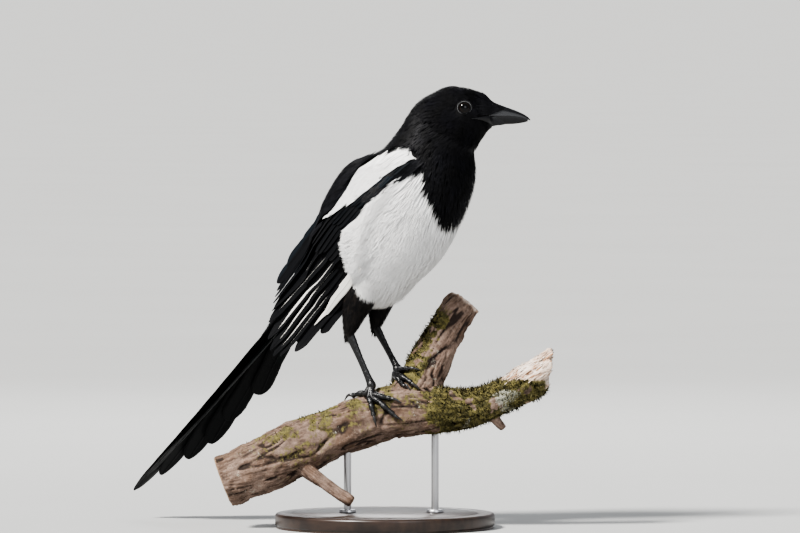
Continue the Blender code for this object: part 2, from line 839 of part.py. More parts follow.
def walk(tree, start, heading, length, steps, height):
    """Points that follow a surface from start along a heading, each at its own height above it."""
    place, normal, _, _ = tree.find_nearest(start)
    stride = length / steps
    points = [(place + normal * height(0.0), normal)]
    for i in range(steps):
        heading = (heading - normal * heading.dot(normal)).normalized()
        guess = place + heading * stride
        near, normal, _, _ = tree.find_nearest(guess)
        heading = (near - place).normalized()
        place = near
        points.append((place + normal * height((i + 1) / steps), normal))
    return points, heading


def build_foot(side, hub, down):
    pieces = []
    bpy.ops.mesh.primitive_uv_sphere_add(segments=10, ring_count=6, radius=1.0)
    palm = bpy.context.object
    palm.data.transform(Matrix.Translation((hub - down * 0.4) * MM)
                        @ down.to_track_quat("Z", "Y").to_matrix().to_4x4()
                        @ Matrix.Diagonal((3.5 * MM, 3.1 * MM, 3.9 * MM, 1.0)))
    move_to(palm, parts)
    pieces.append(palm)
    claws = []
    for name, length, spread in TOES[side]:
        angle = math.radians(spread)
        heading = Vector((math.cos(angle), math.sin(angle), -0.1))
        start = hub - Vector((0, 0, TOE_RADIUS))
        steps = 6
        points, ahead = walk(perch_tree, start, heading, length, steps,
                             lambda t: TOE_CLEARANCE + TOE_RADIUS + (TOE_END_RADIUS - TOE_RADIUS) * t)
        path = [hub + Vector((0, 0, -0.3))] + [p for p, _ in points[1:]]
        radii = [2.5]
        for i in range(1, steps + 1):
            t = i / steps
            knuckle = 0.22 * math.cos(2 * math.pi * t * (3 if length > 18 else 2))
            radii.append(TOE_RADIUS + (TOE_END_RADIUS - TOE_RADIUS) * t + knuckle)
        pieces.append(tube("toe", path, radii, 7, scraps))
        claws.append(build_claw(f"claw_{side}_{name}", points[-1], ahead))
    return fuse(f"foot_{side}", pieces, horn), claws


def build_claw(name, last, heading):
    place, normal = last
    start = place - normal * (TOE_CLEARANCE + TOE_END_RADIUS) + heading * (GAP + 0.1)
    steps = 5
    points, _ = walk(perch_tree, start, heading, CLAW_LENGTH, steps,
                     lambda t: TOE_CLEARANCE + TOE_END_RADIUS * (1 - t) + 0.3
                     + 1.4 * math.sin(math.pi * t ** 0.8))
    path = [p for p, _ in points]
    radii = [1.45 * (1 - i / steps) ** 0.7 + 0.22 for i in range(steps + 1)]
    return tube(name, path, radii, 6, parts, claw_black)


# Perch: one branched piece of wood, with a slanting break at its right end.


def perch_place(along, away, height):
    a = math.radians(PERCH_TURN)
    return Vector((along * math.cos(a) - away * math.sin(a),
                   along * math.sin(a) + away * math.cos(a), height))


def limb(name, table, sides, collection, steps=2, rough=BARK_ROUGHNESS, torn=0.0):
    rows = smooth_table(table, steps)
    path = [perch_place(*row[:3]) for row in rows]
    wood = tube(name, path, [row[3] for row in rows], sides, collection)
    ahead = (path[-1] - path[-2]).normalized()
    for vert in wood.data.vertices:
        ring = min(vert.index // sides, len(path) - 1)
        centre = path[ring] * MM
        vert.co = centre + (vert.co - centre) * (1 + rng.uniform(-rough, rough))
        if ring == len(path) - 1:
            vert.co += ahead * rng.uniform(-torn, torn) * MM
    return wood


def break_off(obj, place, facing):
    """Cuts away what lies beyond a plane, and leaves a rough end."""
    mesh = bmesh.new()
    mesh.from_mesh(obj.data)
    away = perch_place(*facing).normalized()
    bmesh.ops.bisect_plane(mesh, geom=mesh.verts[:] + mesh.edges[:] + mesh.faces[:], dist=1e-7,
                           plane_co=perch_place(*place) * MM, plane_no=away, clear_outer=True)
    rim = [e for e in mesh.edges if len(e.link_faces) == 1]
    made = bmesh.ops.edgeloop_fill(mesh, edges=rim)
    for vert in {v for e in rim for v in e.verts}:
        vert.co += away * rng.uniform(-TORN, TORN * 0.6) * MM
    bmesh.ops.poke(mesh, faces=made["faces"])
    mesh.to_mesh(obj.data)
    mesh.free()
    face_outwards(obj)


def build_perch():
    trunk = limb("perch_branch", BRANCH, BARK_SIDES, parts)
    break_off(trunk, *BREAK)
    fork = limb("fork", FORK, 14, scraps, torn=TORN)
    twig = limb("twig", TWIG, 8, scraps)
    snag = limb("snag", SNAG, 8, scraps, steps=1)
    return fuse("perch_branch", [trunk, fork, twig, snag], bark)


# Stand.


def build_stand():
    profile = bmesh.new()
    edge = BASE_EDGE
    outline = [(0, BASE_THICKNESS), (BASE_RADIUS - edge, BASE_THICKNESS)]
    outline += [(BASE_RADIUS - edge + edge * math.sin(a), BASE_THICKNESS - edge + edge * math.cos(a))
                for a in (math.pi / 6, math.pi / 3, math.pi / 2)]
    outline += [(BASE_RADIUS, 1.0), (BASE_RADIUS - 1.0, 0), (0, 0)]
    last = None
    for x, z in outline:
        vert = profile.verts.new((x * MM, 0, z * MM))
        if last:
            profile.edges.new((last, vert))
        last = vert
    bmesh.ops.spin(profile, geom=profile.verts[:] + profile.edges[:], cent=(0, 0, 0),
                   axis=(0, 0, 1), angle=2 * math.pi, steps=44, use_merge=True)
    bmesh.ops.remove_doubles(profile, verts=profile.verts, dist=0.00001)
    data = bpy.data.meshes.new("stand_base")
    profile.to_mesh(data)
    profile.free()
    base = bpy.data.objects.new("stand_base", data)
    parts.objects.link(base)
    data.materials.append(lacquer)
    face_outwards(base)
    rods = []
    for i, along in enumerate(ROD_ALONG):
        foot = perch_place(along, 0.5, BASE_THICKNESS + GAP)
        top, _ = surface_hit(perch_tree, foot, Vector((0, 0, 1)))
        height = top.z + 8 - foot.z
        bpy.ops.mesh.primitive_cylinder_add(vertices=20, radius=ROD_RADIUS * MM, depth=height * MM)
        rod = bpy.context.object
        rod.data.transform(Matrix.Translation((foot + Vector((0, 0, height / 2))) * MM))
        rod.name = f"stand_rod_{i + 1}"
        move_to(rod, parts)
        rod.data.materials.append(steel)
        cut_clear(rod, perch)
        rods.append(rod)
    return base, rods


clear_scene()
parts = make_collection("magpie")
cutters = make_collection("cutters")
scraps = make_collection("scraps")
white = make_material("white_feather", (0.86, 0.85, 0.82), 0.75)
black = make_material("black_feather", (0.012, 0.013, 0.016), 0.55)
bill_black = make_material("bill", (0.02, 0.021, 0.025), 0.3)
eye_dark = make_material("eye", (0.012, 0.008, 0.006), 0.08)
horn = make_material("leg_scales", (0.018, 0.018, 0.021), 0.32)
claw_black = make_material("claw", (0.014, 0.013, 0.013), 0.28)
bark = make_material("bark", (0.2, 0.14, 0.09), 0.85)
lacquer = make_material("stand_lacquer", (0.03, 0.028, 0.026), 0.35)
steel = make_material("stand_steel", (0.55, 0.55, 0.56), 0.3, 1.0)

body_tree = smooth_body_tree()
torso, neck, head = build_body()
bill_upper, bill_lower = build_bill()
head = fuse("head", [head, build_lid(-1), build_lid(1), *build_bristles(bill_upper)], black)
eyes = [build_eye("eye_right", -1), build_eye("eye_left", 1)]
cut_clear(head, bill_upper, bill_lower, *eyes)
tail = build_tail()
thighs = {side: build_thigh(side) for side in ("right", "left")}
wing_right = build_wing(0.0)
wing_left = mirrored(build_wing(FAR_WING_CLOSED), "wing_left")
cut_clear(wing_right, thighs["right"])
cut_clear(wing_left, thighs["left"])
perch = build_perch()
perch_tree = tree_of(perch)
for leg_side, upper_leg in thighs.items():
    build_leg(leg_side, upper_leg)
build_stand()
for collection in (cutters, scraps):
    for left_over in list(collection.objects):
        bpy.data.objects.remove(left_over)
    bpy.data.collections.remove(collection)
for made in parts.objects:
    made.data.shade_smooth()
    made.data.set_sharp_from_angle(angle=math.radians(SHARP_ANGLE))
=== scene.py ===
"""The looks of a Eurasian magpie that grips a cut branch, life size, on a plain display stand.

+X is the way the bird's body faces, +Y its left and +Z up. The tables are in millimetres and
degrees, the meshes in metres. The tables of the body, wings, tail, toes and branch are those
that the solids were made from, so that feathers, skin and bark lie where the solids do.
"""

import math
import random
from collections import namedtuple

import bmesh
import bpy
import numpy as np
from mathutils import Matrix, Vector, noise
from mathutils.bvhtree import BVHTree


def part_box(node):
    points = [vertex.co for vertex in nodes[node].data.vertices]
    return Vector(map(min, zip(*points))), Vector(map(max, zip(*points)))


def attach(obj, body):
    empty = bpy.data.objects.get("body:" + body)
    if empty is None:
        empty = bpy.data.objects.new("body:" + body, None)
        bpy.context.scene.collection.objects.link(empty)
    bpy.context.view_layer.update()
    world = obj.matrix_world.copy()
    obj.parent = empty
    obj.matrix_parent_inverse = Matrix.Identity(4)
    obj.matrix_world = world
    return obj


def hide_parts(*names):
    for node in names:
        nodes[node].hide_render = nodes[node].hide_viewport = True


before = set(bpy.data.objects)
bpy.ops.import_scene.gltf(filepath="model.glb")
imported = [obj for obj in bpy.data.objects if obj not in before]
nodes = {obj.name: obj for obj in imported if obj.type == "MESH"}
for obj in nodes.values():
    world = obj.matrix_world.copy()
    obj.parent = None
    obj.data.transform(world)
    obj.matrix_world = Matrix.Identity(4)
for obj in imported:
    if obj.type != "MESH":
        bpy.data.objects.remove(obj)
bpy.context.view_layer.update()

MM = 0.001

# Camera: the photograph's scale, in millimetres to a pixel, and where its picture is centred.
CAMERA_TURN = 30.0
CAMERA_RISE = 2.0
CAMERA_DISTANCE = 7100.0
PICTURE_WIDTH = 640.0
PICTURE_CENTRE = (12.0, 209.3)

# Body. Each ring is (turn, forward, height, lean, half width, half depth), from the tail's
# stump to the bill. Forward is measured in a plane that turns about the neck's pivot.
NECK_PIVOT_X = 57.0
HEAD_TURN = 30.0
RING_ROUNDNESS = 2.1
STUMP_RINGS = [
    (0, -100.0, 163.0, 46.5, 8.5, 3.2),
    (0, -87.5, 176.4, 46.5, 11, 5.6),
    (0, -75.1, 189.4, 46.5, 11.6, 8.4),
    (0, -66.9, 198.1, 46.4, 11.4, 10.6),
]
BODY_RINGS = [
    (0, -60.0, 205.4, 46, 11.5, 11.7),
    (0, -51.2, 206.0, 40, 19, 19.6),
    (0, -41.0, 207.4, 38, 27, 27.8),
    (0, -29.6, 210.4, 39.7, 34, 35.7),
    (0, -17.0, 218.8, 42.1, 38.5, 42),
    (0, -3.6, 231.8, 46.1, 41.5, 46.4),
    (0, 9.4, 247.0, 48.7, 43, 48.8),
    (0, 23.9, 266.1, 51, 42.5, 47),
    (0, 38.5, 284.3, 59, 39, 40.4),
    (0, 45.4, 298.8, 65, 34, 36.1),
    (8, 49, 310.3, 67, 29.5, 31.2),
    (18, 53.9, 319, 63, 25.5, 30.7),
    (26, 59.3, 326.4, 57, 22, 29.3),
    (30, 66.6, 332, 51, 19.3, 26.7),
    (30, 73.2, 335.7, 41, 17.2, 24),
    (30, 79.8, 336.5, 33, 15.2, 20),
    (30, 86, 335.5, 24, 12.6, 16.6),
    (30, 90.8, 333.7, 15, 9.6, 12.4),
]
RING_STEPS = 10
# How deep the coat is over the skin, at fractional rings of the two tables together.
COAT_DEPTH = [(0, 1.2), (4, 2.5), (7, 4.0), (12, 4.0), (15, 2.4), (17, 1.6), (21, 0.9)]

# Bill, in the head's turned plane: (forward, ridge height, edge height, half width).
UPPER_BILL = [
    (84, 342, 329.6, 7.2),
    (92, 341.6, 330.4, 6.2),
    (101.6, 338.3, 330.5, 4.7),
    (110.8, 335.0, 330.2, 3.4),
    (117.6, 332.0, 328.9, 2.1),
    (121.6, 329.4, 327.2, 1.1),
    (123.4, 327.4, 326.6, 0.35),
]
LOWER_BILL = [
    (84, 329.3, 320.3, 6.8),
    (92, 330.1, 321.6, 5.7),
    (101.6, 330.2, 323.4, 4.2),
    (110.8, 329.9, 323.9, 3.0),
    (117.6, 328.6, 324.9, 1.7),
    (121.4, 326.9, 325.9, 0.5),
]

# Eye.
EYE_FORWARD = 70.8
EYE_HEIGHT = 337.2
EYE_RADIUS = 6.0
EYE_PROUD = 1.7

# Folded wing, laid out in the torso's side plane: s runs tailward from the shoulder, h dorsally.
# The far wing is drawn up and shut by some millimetres more.
SHOULDER_X = 35.0
SHOULDER_Z = 285.4
TORSO_PITCH = 51.0
WING_CLEARANCE = 1.1
FAR_WING_CLOSED = 22.0

rng = random.Random(11)
draw = np.random.default_rng(11)


# Shapes that several pieces share.


def smooth_table(table, steps):
    """The table's rows with steps - 1 rows between each pair, on a Catmull-Rom curve."""
    rows = np.array(table, float)
    padded = np.vstack([2 * rows[0] - rows[1], rows, 2 * rows[-1] - rows[-2]])
    made = []
    for p0, p1, p2, p3 in zip(padded, padded[1:], padded[2:], padded[3:]):
        bend = 2 * p0 - 5 * p1 + 4 * p2 - p3
        spring = 3 * p1 - p0 - 3 * p2 + p3
        made += [0.5 * (2 * p1 + (p2 - p0) * t + bend * t * t + spring * t**3)
                 for t in np.arange(steps) / steps]
    return np.array(made + [padded[-2]])


def curve(table, at):
    """A table of (at, value) read at places between its rows."""
    return np.interp(at, *zip(*table))


def ease(value, low, high):
    """0 at low, 1 at high, the same beyond them, and a smooth step between."""
    t = np.clip((value - low) / (high - low), 0.0, 1.0)
    return t * t * (3 - 2 * t)


def unit(vectors):
    return vectors / np.maximum(np.linalg.norm(vectors, axis=-1, keepdims=True), 1e-9)


def dot(a, b):
    return np.sum(a * b, axis=-1, keepdims=True)


def ripple(places, size, seed=0.0):
    """A smooth wandering value between -1 and 1, over places in millimetres."""
    x, y, z = (np.moveaxis(np.asarray(places, float), -1, 0)) / size
    first = np.sin(1.7 * x + 2.3 * y - 1.1 * z + seed) + np.sin(-2.1 * x + 0.9 * y + 1.9 * z + 2.0 * seed)
    return (first + np.sin(3.3 * x - 1.3 * y + 2.7 * z + 3.1 * seed + first)) / 3


def round_angles(count):
    return 2 * np.pi * np.arange(count) / count


def head_points(forward, height, side, turn=HEAD_TURN):
    """Points in the plane that turns about the neck's pivot. Side is positive to the left."""
    angle = np.radians(turn)
    reach = np.asarray(forward, float) - NECK_PIVOT_X
    x = NECK_PIVOT_X + reach * np.cos(angle) - side * np.sin(angle)
    y = reach * np.sin(angle) + side * np.cos(angle)
    return np.stack(np.broadcast_arrays(x, y, height), axis=-1).astype(float)


def body_grid(rows):
    """Rings of points round the body, one to a row, the first point of each on its back."""
    a = round_angles(GRID_SIDES)
    power = 2 / RING_ROUNDNESS
    across = np.sign(np.sin(a)) * np.abs(np.sin(a)) ** power
    up = np.sign(np.cos(a)) * np.abs(np.cos(a)) ** power
    grid = []
    for turn, forward, height, lean, half_width, half_depth in rows:
        angle = math.radians(lean)
        rise = up * half_depth
        grid.append(head_points(forward - rise * math.sin(angle), height + rise * math.cos(angle),
                                across * half_width, turn))
    return np.array(grid)


def tree_of(grid):
    """A search tree of a closed grid of points."""
    count, sides = grid.shape[:2]
    index = np.arange(count * sides).reshape(count, sides)
    near, far = index[:-1], index[1:]
    quads = np.stack([near, np.roll(near, -1, 1), np.roll(far, -1, 1), far], -1).reshape(-1, 4)
    return BVHTree.FromPolygons([tuple(p) for p in grid.reshape(-1, 3)], quads.tolist())


def added(name, data):
    """A new object in the scene."""
    item = bpy.data.objects.new(name, data)
    bpy.context.scene.collection.objects.link(item)
    return item


def place_mesh(name, mesh, finish, slot, *replaced):
    """Puts a mesh in the scene as a piece that rides on the model's one body."""
    piece = added(name, mesh)
    mesh.materials.append(finish)
    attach(piece, "root")
    if replaced:
        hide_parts(*replaced)


def mark(mesh, **values):
    """Gives a mesh attributes of one number per point, for the finishes to read."""
    for key, value in values.items():
        value = np.broadcast_to(value, len(mesh.vertices)).astype(np.float32)
        mesh.attributes.new(key, "FLOAT", "POINT").data.foreach_set("value", value)


def point_places(mesh):
    """The places of a mesh's points, in millimetres."""
    flat = np.zeros(len(mesh.vertices) * 3)
    mesh.vertices.foreach_get("co", flat)
    return flat.reshape(-1, 3) / MM


def move_points(mesh, places):
    mesh.vertices.foreach_set("co", (places * MM).astype(np.float32).ravel())


def bridged(shell, rings, capped=True):
    """Adds a skin over rings of points to a bmesh, each ring a circle bridged to the next."""
    loops = []
    for ring in rings:
        circle = bmesh.ops.create_circle(shell, segments=len(ring), radius=MM)["verts"]
        for vert, place in zip(circle, ring):
            vert.co = Vector(place) * MM
        loops.append(list(dict.fromkeys(e for v in circle for e in v.link_edges)))
    for near, far in zip(loops, loops[1:]):
        bmesh.ops.bridge_loops(shell, edges=near + far)
    if capped:
        for loop in (loops[0], loops[-1]):
            bmesh.ops.edgeloop_fill(shell, edges=loop)
    return shell


def finished_mesh(name, shell, sharp=None):
    """The bmesh as a smooth mesh, its faces turned outwards. Edges over sharp degrees stay crisp."""
    bmesh.ops.recalc_face_normals(shell, faces=shell.faces)
    if shell.calc_volume(signed=True) < 0:
        bmesh.ops.reverse_faces(shell, faces=shell.faces)
    mesh = bpy.data.meshes.new(name)
    shell.to_mesh(mesh)
    shell.free()
    mesh.shade_smooth()
    if sharp:
        mesh.set_sharp_from_angle(angle=math.radians(sharp))
    return mesh


def remeshed(name, shell, grain, rounds):
    """The bmesh as one fine surface of even grain in millimetres, smoothed by some rounds."""
    rough = added(name, finished_mesh(name, shell))
    remesh = rough.modifiers.new("one surface", "REMESH")
    remesh.mode = "VOXEL"
    remesh.voxel_size = grain * MM
    rough.modifiers.new("soft joins", "SMOOTH").iterations = rounds
    bpy.context.view_layer.update()
    mesh = bpy.data.meshes.new_from_object(rough.evaluated_get(bpy.context.evaluated_depsgraph_get()))
    bpy.data.objects.remove(rough)
    mesh.shade_smooth()
    return mesh


def mirrored(mesh):
    """The mesh on the body's other side, its faces turned back outwards."""
    shell = bmesh.new()
    shell.from_mesh(mesh)
    bmesh.ops.scale(shell, vec=(1, -1, 1), verts=shell.verts)
    bmesh.ops.reverse_faces(shell, faces=shell.faces)
    shell.to_mesh(mesh)
    shell.free()


def tube_rings(path, radii, sides, flatten=1.0):
    """Rings of points of changing radius along a path. Flatten squeezes them across."""
    path = np.asarray(path, float)
    ahead = unit(np.gradient(path, axis=0))
    side = np.cross(ahead, (0.0, 0.0, 1.0))
    upright = np.linalg.norm(side, axis=-1) < 0.2
    side[upright] = np.cross(ahead[upright], (0.0, 1.0, 0.0))
    side = unit(side)
    top = np.cross(side, ahead)
    a = round_angles(sides)[None, :, None]
    reach = side[:, None] * np.cos(a) * flatten + top[:, None] * np.sin(a)
    return path[:, None] + reach * np.asarray(radii, float)[:, None, None]


def array_mesh(name, places, faces, values, maps, normals=None):
    """A mesh from arrays: places in millimetres, triangles, values per point, UV maps per corner."""
    mesh = bpy.data.meshes.new(name)
    mesh.vertices.add(len(places))
    move_points(mesh, places)
    mesh.loops.add(faces.size)
    mesh.loops.foreach_set("vertex_index", faces.astype(np.int32).ravel())
    mesh.polygons.add(len(faces))
    mesh.polygons.foreach_set("loop_start", np.arange(0, faces.size, 3, dtype=np.int32))
    mesh.update(calc_edges=True)
    mark(mesh, **values)
    for key, corners in maps.items():
        layer = mesh.uv_layers.new(name=key)
        layer.data.foreach_set("uv", corners[faces.ravel()].astype(np.float32).ravel())
    mesh.shade_smooth()
    if normals is not None:
        mesh.normals_split_custom_set_from_vertices(normals.astype(np.float32))
    return mesh


def read_grid(table, u, v, closed=False):
    """A table's values at fractional rows and columns. The columns of a closed one are a ring."""
    rows, columns = table.shape[:2]
    u = np.clip(u, 0, rows - 1.001)
    v = v % columns if closed else np.clip(v, 0, columns - 1.001)
    u0 = u.astype(int)
    v0 = v.astype(int) % columns
    v1 = (v0 + 1) % columns
    fu, fv = (u - u0)[..., None], (v - np.floor(v))[..., None]
    low = table[u0, v0] * (1 - fv) + table[u0, v1] * fv
    high = table[u0 + 1, v0] * (1 - fv) + table[u0 + 1, v1] * fv
    return low * (1 - fu) + high * fu


class Surface:
    """A grid of points that feathers lie on. Its rows run from their tips' way to their roots'."""

    def __init__(self, grid, closed=True, outward=None):
        self.grid = grid
        self.closed = closed
        self.rows, self.columns = grid.shape[:2]
        self.along = np.gradient(grid, axis=0)
        if closed:
            wide = np.concatenate([grid[:, -1:], grid, grid[:, :1]], axis=1)
            self.around = (wide[:, 2:] - wide[:, :-2]) / 2
        else:
            self.around = np.gradient(grid, axis=1)
        self.normals = unit(np.cross(self.around, self.along))
        if outward is None:
            outward = grid - grid.mean(axis=1, keepdims=True)
        if (self.normals * outward).sum() < 0:
            self.normals = -self.normals

    def read(self, table, u, v):
        return read_grid(table, u, v, self.closed)

    def places(self, u, v):
        return self.read(self.grid, u, v)

    def walk(self, u, v, turn, length, points, sway=0.0):
        """Paths from (u, v) down the rows, turned by an angle. Gives their points and normals."""
        u, v = u.copy(), v.copy()
        stride = length / (points - 1)
        beyond = np.zeros_like(u)
        path, normals = [], []
        for i in range(points):
            along = self.read(self.along, u, v)
            around = self.read(self.around, u, v)
            down = -unit(along)
            normal = unit(self.read(self.normals, u, v))
            across = np.cross(normal, down)
            path.append(self.places(u, v) + down * beyond[:, None])
            normals.append(normal)
            angle = (turn + sway * (i / (points - 1)))[:, None]
            heading = down * np.cos(angle) + across * np.sin(angle)
            e, f, g = dot(along, along)[:, 0], dot(along, around)[:, 0], dot(around, around)[:, 0]
            p, q = dot(heading, along)[:, 0], dot(heading, around)[:, 0]
            scale = np.maximum(e * g - f * f, 1e-6)
            u = u + (p * g - q * f) / scale * stride
            v = v + (q * e - p * f) / scale * stride
            beyond += np.where(u < 0, stride, 0.0)
            u = np.clip(u, 0, self.rows - 1.001)
        return np.stack(path, 1), np.stack(normals, 1)


# How far a blade's shading turns to its sides: the coat shades nearly as the body beneath it does.
ROUNDED = 0.45
# A blade's share of the unwrap, about the place of its root.
PATCH = 0.003


def blade_mesh(name, path, normals, widths, thickness, values, roots):
    """Closed tapering blades over paths of points, (count, points, 3), whose last is the tip.

    Values and roots, their places on the unwrap, are one per blade.
    """
    count, points = path.shape[:2]
    ahead = unit(np.gradient(path, axis=1))
    side = unit(np.cross(ahead, normals))
    up = np.cross(side, ahead)
    side, top = side[:, :-1], up[:, :-1]
    half = widths[:, :-1, None] * 0.5
    ring = np.stack([path[:, :-1] - side * half, path[:, :-1] + side * half,
                     path[:, :-1] + top * half * thickness], axis=2)
    places = np.concatenate([ring.reshape(count, -1, 3), path[:, -1:]], axis=1)
    shaded = np.stack([top - side * ROUNDED, top + side * ROUNDED, top], axis=2)
    shaded = unit(np.concatenate([shaded.reshape(count, -1, 3), up[:, -1:]], axis=1))
    tip = 3 * (points - 1)
    faces = [(0, 1, 2)]
    for i in range(points - 2):
        for j in range(3):
            a, b = 3 * i + j, 3 * i + (j + 1) % 3
            faces += [(a, a + 3, b + 3), (a, b + 3, b)]
    faces += [(tip - 3 + j, tip, tip - 3 + (j + 1) % 3) for j in range(3)]
    each = tip + 1
    faces = (np.array(faces)[None] + each * np.arange(count)[:, None, None]).reshape(-1, 3)
    share = np.concatenate([np.repeat(np.arange(points - 1) / (points - 1), 3), [1.0]])
    corner = np.array([(-1, -1), (1, -1), (0, 1)] * (points - 1) + [(0, 1)]) * 0.5
    corner[:, 1] = share - 0.5
    patch = (roots[:, None] + corner[None] * PATCH).reshape(-1, 2)
    per_point = {key: np.repeat(value, each) for key, value in values.items()}
    return array_mesh(name, places.reshape(-1, 3), faces, {**per_point, "reach": np.tile(share, count)},
                      {"OFBake": patch}, shaded.reshape(-1, 3))


def spread_out(count):
    """Places on the unwrap for separate blades, in rows."""
    wide = math.ceil(math.sqrt(count))
    return np.stack([np.arange(count) % wide, np.arange(count) // wide], 1) / wide * 0.98 + 0.01


# Finishes.


class Wire:
    """A socket's value in a finish. Arithmetic on it adds the finish's Math nodes."""

    def __init__(self, finish, socket):
        self.finish = finish
        self.socket = socket

    def math(self, operation, *values):
        return self.finish.add("ShaderNodeMath", {"operation": operation}, *values)

    def __add__(self, other):
        return self.math("ADD", self, other)

    def __radd__(self, other):
        return self.math("ADD", other, self)

    def __sub__(self, other):
        return self.math("SUBTRACT", self, other)

    def __rsub__(self, other):
        return self.math("SUBTRACT", other, self)

    def __mul__(self, other):
        return self.math("MULTIPLY", self, other)

    def __rmul__(self, other):
        return self.math("MULTIPLY", other, self)

    def magnitude(self):
        return self.math("ABSOLUTE", self)

    def wave(self):
        """Its sine, brought between 0 and 1."""
        return self.math("SINE", self) * 0.5 + 0.5

    def step(self, low, high):
        """0 at low, 1 at high, the same beyond them, and a smooth step between."""
        settings = {"interpolation_type": "SMOOTHSTEP"}
        return self.finish.add("ShaderNodeMapRange", settings, self, low, high, 0.0, 1.0)

    def mix(self, low, high):
        """A colour mixed from two by this share: the first at 0 and the second at 1."""
        return self.finish.add("ShaderNodeMix", {"data_type": "RGBA"}, self, *[None] * 5, low, high, out=2)


class Finish:
    """A material on one Principled shader."""

    def __init__(self, name):
        self.material = bpy.data.materials.new(name)
        self.material.use_nodes = True
        self.tree = self.material.node_tree

    def feed(self, socket, value):
        """Links a wire to a socket, or gives the socket a constant."""
        if isinstance(value, Wire):
            self.tree.links.new(value.socket, socket)
        elif value is not None:
            colour = isinstance(value, tuple) and socket.type == "RGBA"
            socket.default_value = (*value, 1.0) if colour else value

    def set(self, **looks):
        """Feeds the shader's own sockets."""
        for key, value in looks.items():
            key = key.replace("_", " ").title().replace("Ior", "IOR")
            self.feed(self.tree.nodes["Principled BSDF"].inputs[key], value)

    def add(self, kind, settings=None, *values, out=0, **named):
        """A node of a type, with its settings and the values or wires of its sockets."""
        node = self.tree.nodes.new(kind)
        for key, value in (settings or {}).items():
            setattr(node, key, value)
        for key, value in [*enumerate(values), *named.items()]:
            self.feed(node.inputs[key], value)
        return Wire(self, node.outputs[out])

    def read(self, *names, out="Fac"):
        """The piece's own attributes of these names."""
        wires = [self.add("ShaderNodeAttribute", {"attribute_name": name}, out=out) for name in names]
        return wires if len(names) > 1 else wires[0]

    def place(self):
        """Object coordinates in metres."""
        return self.add("ShaderNodeTexCoord", out="Object")

    def noise(self, scale, detail=3.0, roughness=0.5, on=None, turn=None):
        """Noise over the piece, or over another vector. Three scales stretch it."""
        vector = on or self.place()
        if isinstance(scale, tuple):
            vector = self.add("ShaderNodeMapping", None, vector, Scale=scale, Rotation=turn)
            scale = 1.0
        return self.add("ShaderNodeTexNoise", None, Vector=vector, Scale=scale, Detail=detail,
                        Roughness=roughness)

    def cells(self, scale, feature="F1"):
        return self.add("ShaderNodeTexVoronoi", {"feature": feature}, Vector=self.place(), Scale=scale)

    def bump(self, height, distance, strength):
        """Raises the surface by a height, given in parts of a distance in millimetres."""
        self.set(normal=self.add("ShaderNodeBump", None, Strength=strength, Distance=distance * MM,
                                 Height=height))


def made(paint):
    """Turns a function that paints a finish into its material, of the same name."""
    finish = Finish(paint.__name__)
    paint(finish)
    return finish.material


@made
def plumage(finish):
    """Body feathers and the skin beneath them: velvet black, or white, by each one's own values."""
    white, tone, reach, sheen, shade = finish.read("white", "tone", "reach", "sheen", "shade")
    white = white.step(0.35, 0.65)
    soot = tone.mix((0.0016, 0.0016, 0.002), (0.0062, 0.006, 0.0064))
    # Mixed in by this value: real brown on the thighs and buff low on the belly, and painted shade on the
    # belly's far side.
    soot = (shade * tone).mix(soot, (0.021, 0.016, 0.013))
    soot = (sheen * tone).mix(soot, (0.0095, 0.0095, 0.0135))
    snow = tone.mix((0.80, 0.795, 0.785), (0.90, 0.895, 0.885))
    snow = shade.mix(snow, (0.52, 0.47, 0.39))
    # Painted shade: the white greys towards each blade's root, among the other blades.
    snow = ((1 - reach) * 0.15).mix(snow, (0.66, 0.655, 0.645))
    finish.set(base_color=white.mix(soot, snow), roughness=0.62 - 0.2 * sheen + 0.18 * white,
               specular_ior_level=0.12)


@made
def flight_feather(finish):
    """Wing and tail feathers: glossy black webs, white inner webs, dark shafts, fine barbs."""
    lie = finish.add("ShaderNodeUVMap", {"uv_map": "Vane"})
    across, along = (finish.add("ShaderNodeSeparateXYZ", None, lie, out=i) for i in (0, 1))
    from_shaft = (across - 0.5).magnitude()
    barbs = (along * 520.0 + from_shaft * 110.0 + finish.noise(90.0) * 6.0).wave()
    ragged = finish.noise((3.0, 160.0, 1.0), detail=2.0, on=lie) - 0.5
    stripe, gloss, hue, tone = finish.read("stripe", "gloss", "hue", "tone")
    stripe = (stripe + ragged * 0.6).step(-0.2, 0.3)
    soot = tone.mix((0.0022, 0.0022, 0.0026), (0.0075, 0.0072, 0.0078))
    # Gloss paints a sheen into the black webs, blue or green by the hue value, and makes them a little
    # metallic.
    sheen_tint = hue.mix((0.022, 0.040, 0.060), (0.02, 0.034, 0.03))
    dark = (barbs * 0.22).mix(gloss.mix(soot, sheen_tint), (0.0015, 0.0015, 0.002))
    snow = tone.mix((0.62, 0.60, 0.56), (0.84, 0.83, 0.80))
    snow = (barbs * 0.12).mix(snow, (0.42, 0.38, 0.33))
    finish.set(base_color=stripe.mix(dark, snow), metallic=gloss * (1 - stripe) * 0.75,
               roughness=0.50 + stripe * 0.15 + barbs * 0.05, specular_ior_level=0.07)
    finish.bump(barbs, 0.05, 0.5)


@made
def bill_horn(finish):
    mottle = finish.noise(260.0, detail=4.0)
    growth = finish.noise((60.0, 60.0, 420.0), detail=2.0, turn=(0.0, 0.12, 0.0))
    base = mottle.mix((0.0025, 0.0026, 0.0032), (0.0075, 0.0075, 0.0088))
    # Painted highlight: the horn lightens towards its cutting edge.
    finish.set(base_color=(finish.read("edge") * 0.8).mix(base, (0.024, 0.024, 0.026)),
               roughness=0.21 + 0.16 * mottle, specular_ior_level=0.3)
    finish.bump(growth * 0.7 + mottle * 0.3, 0.08, 0.5)


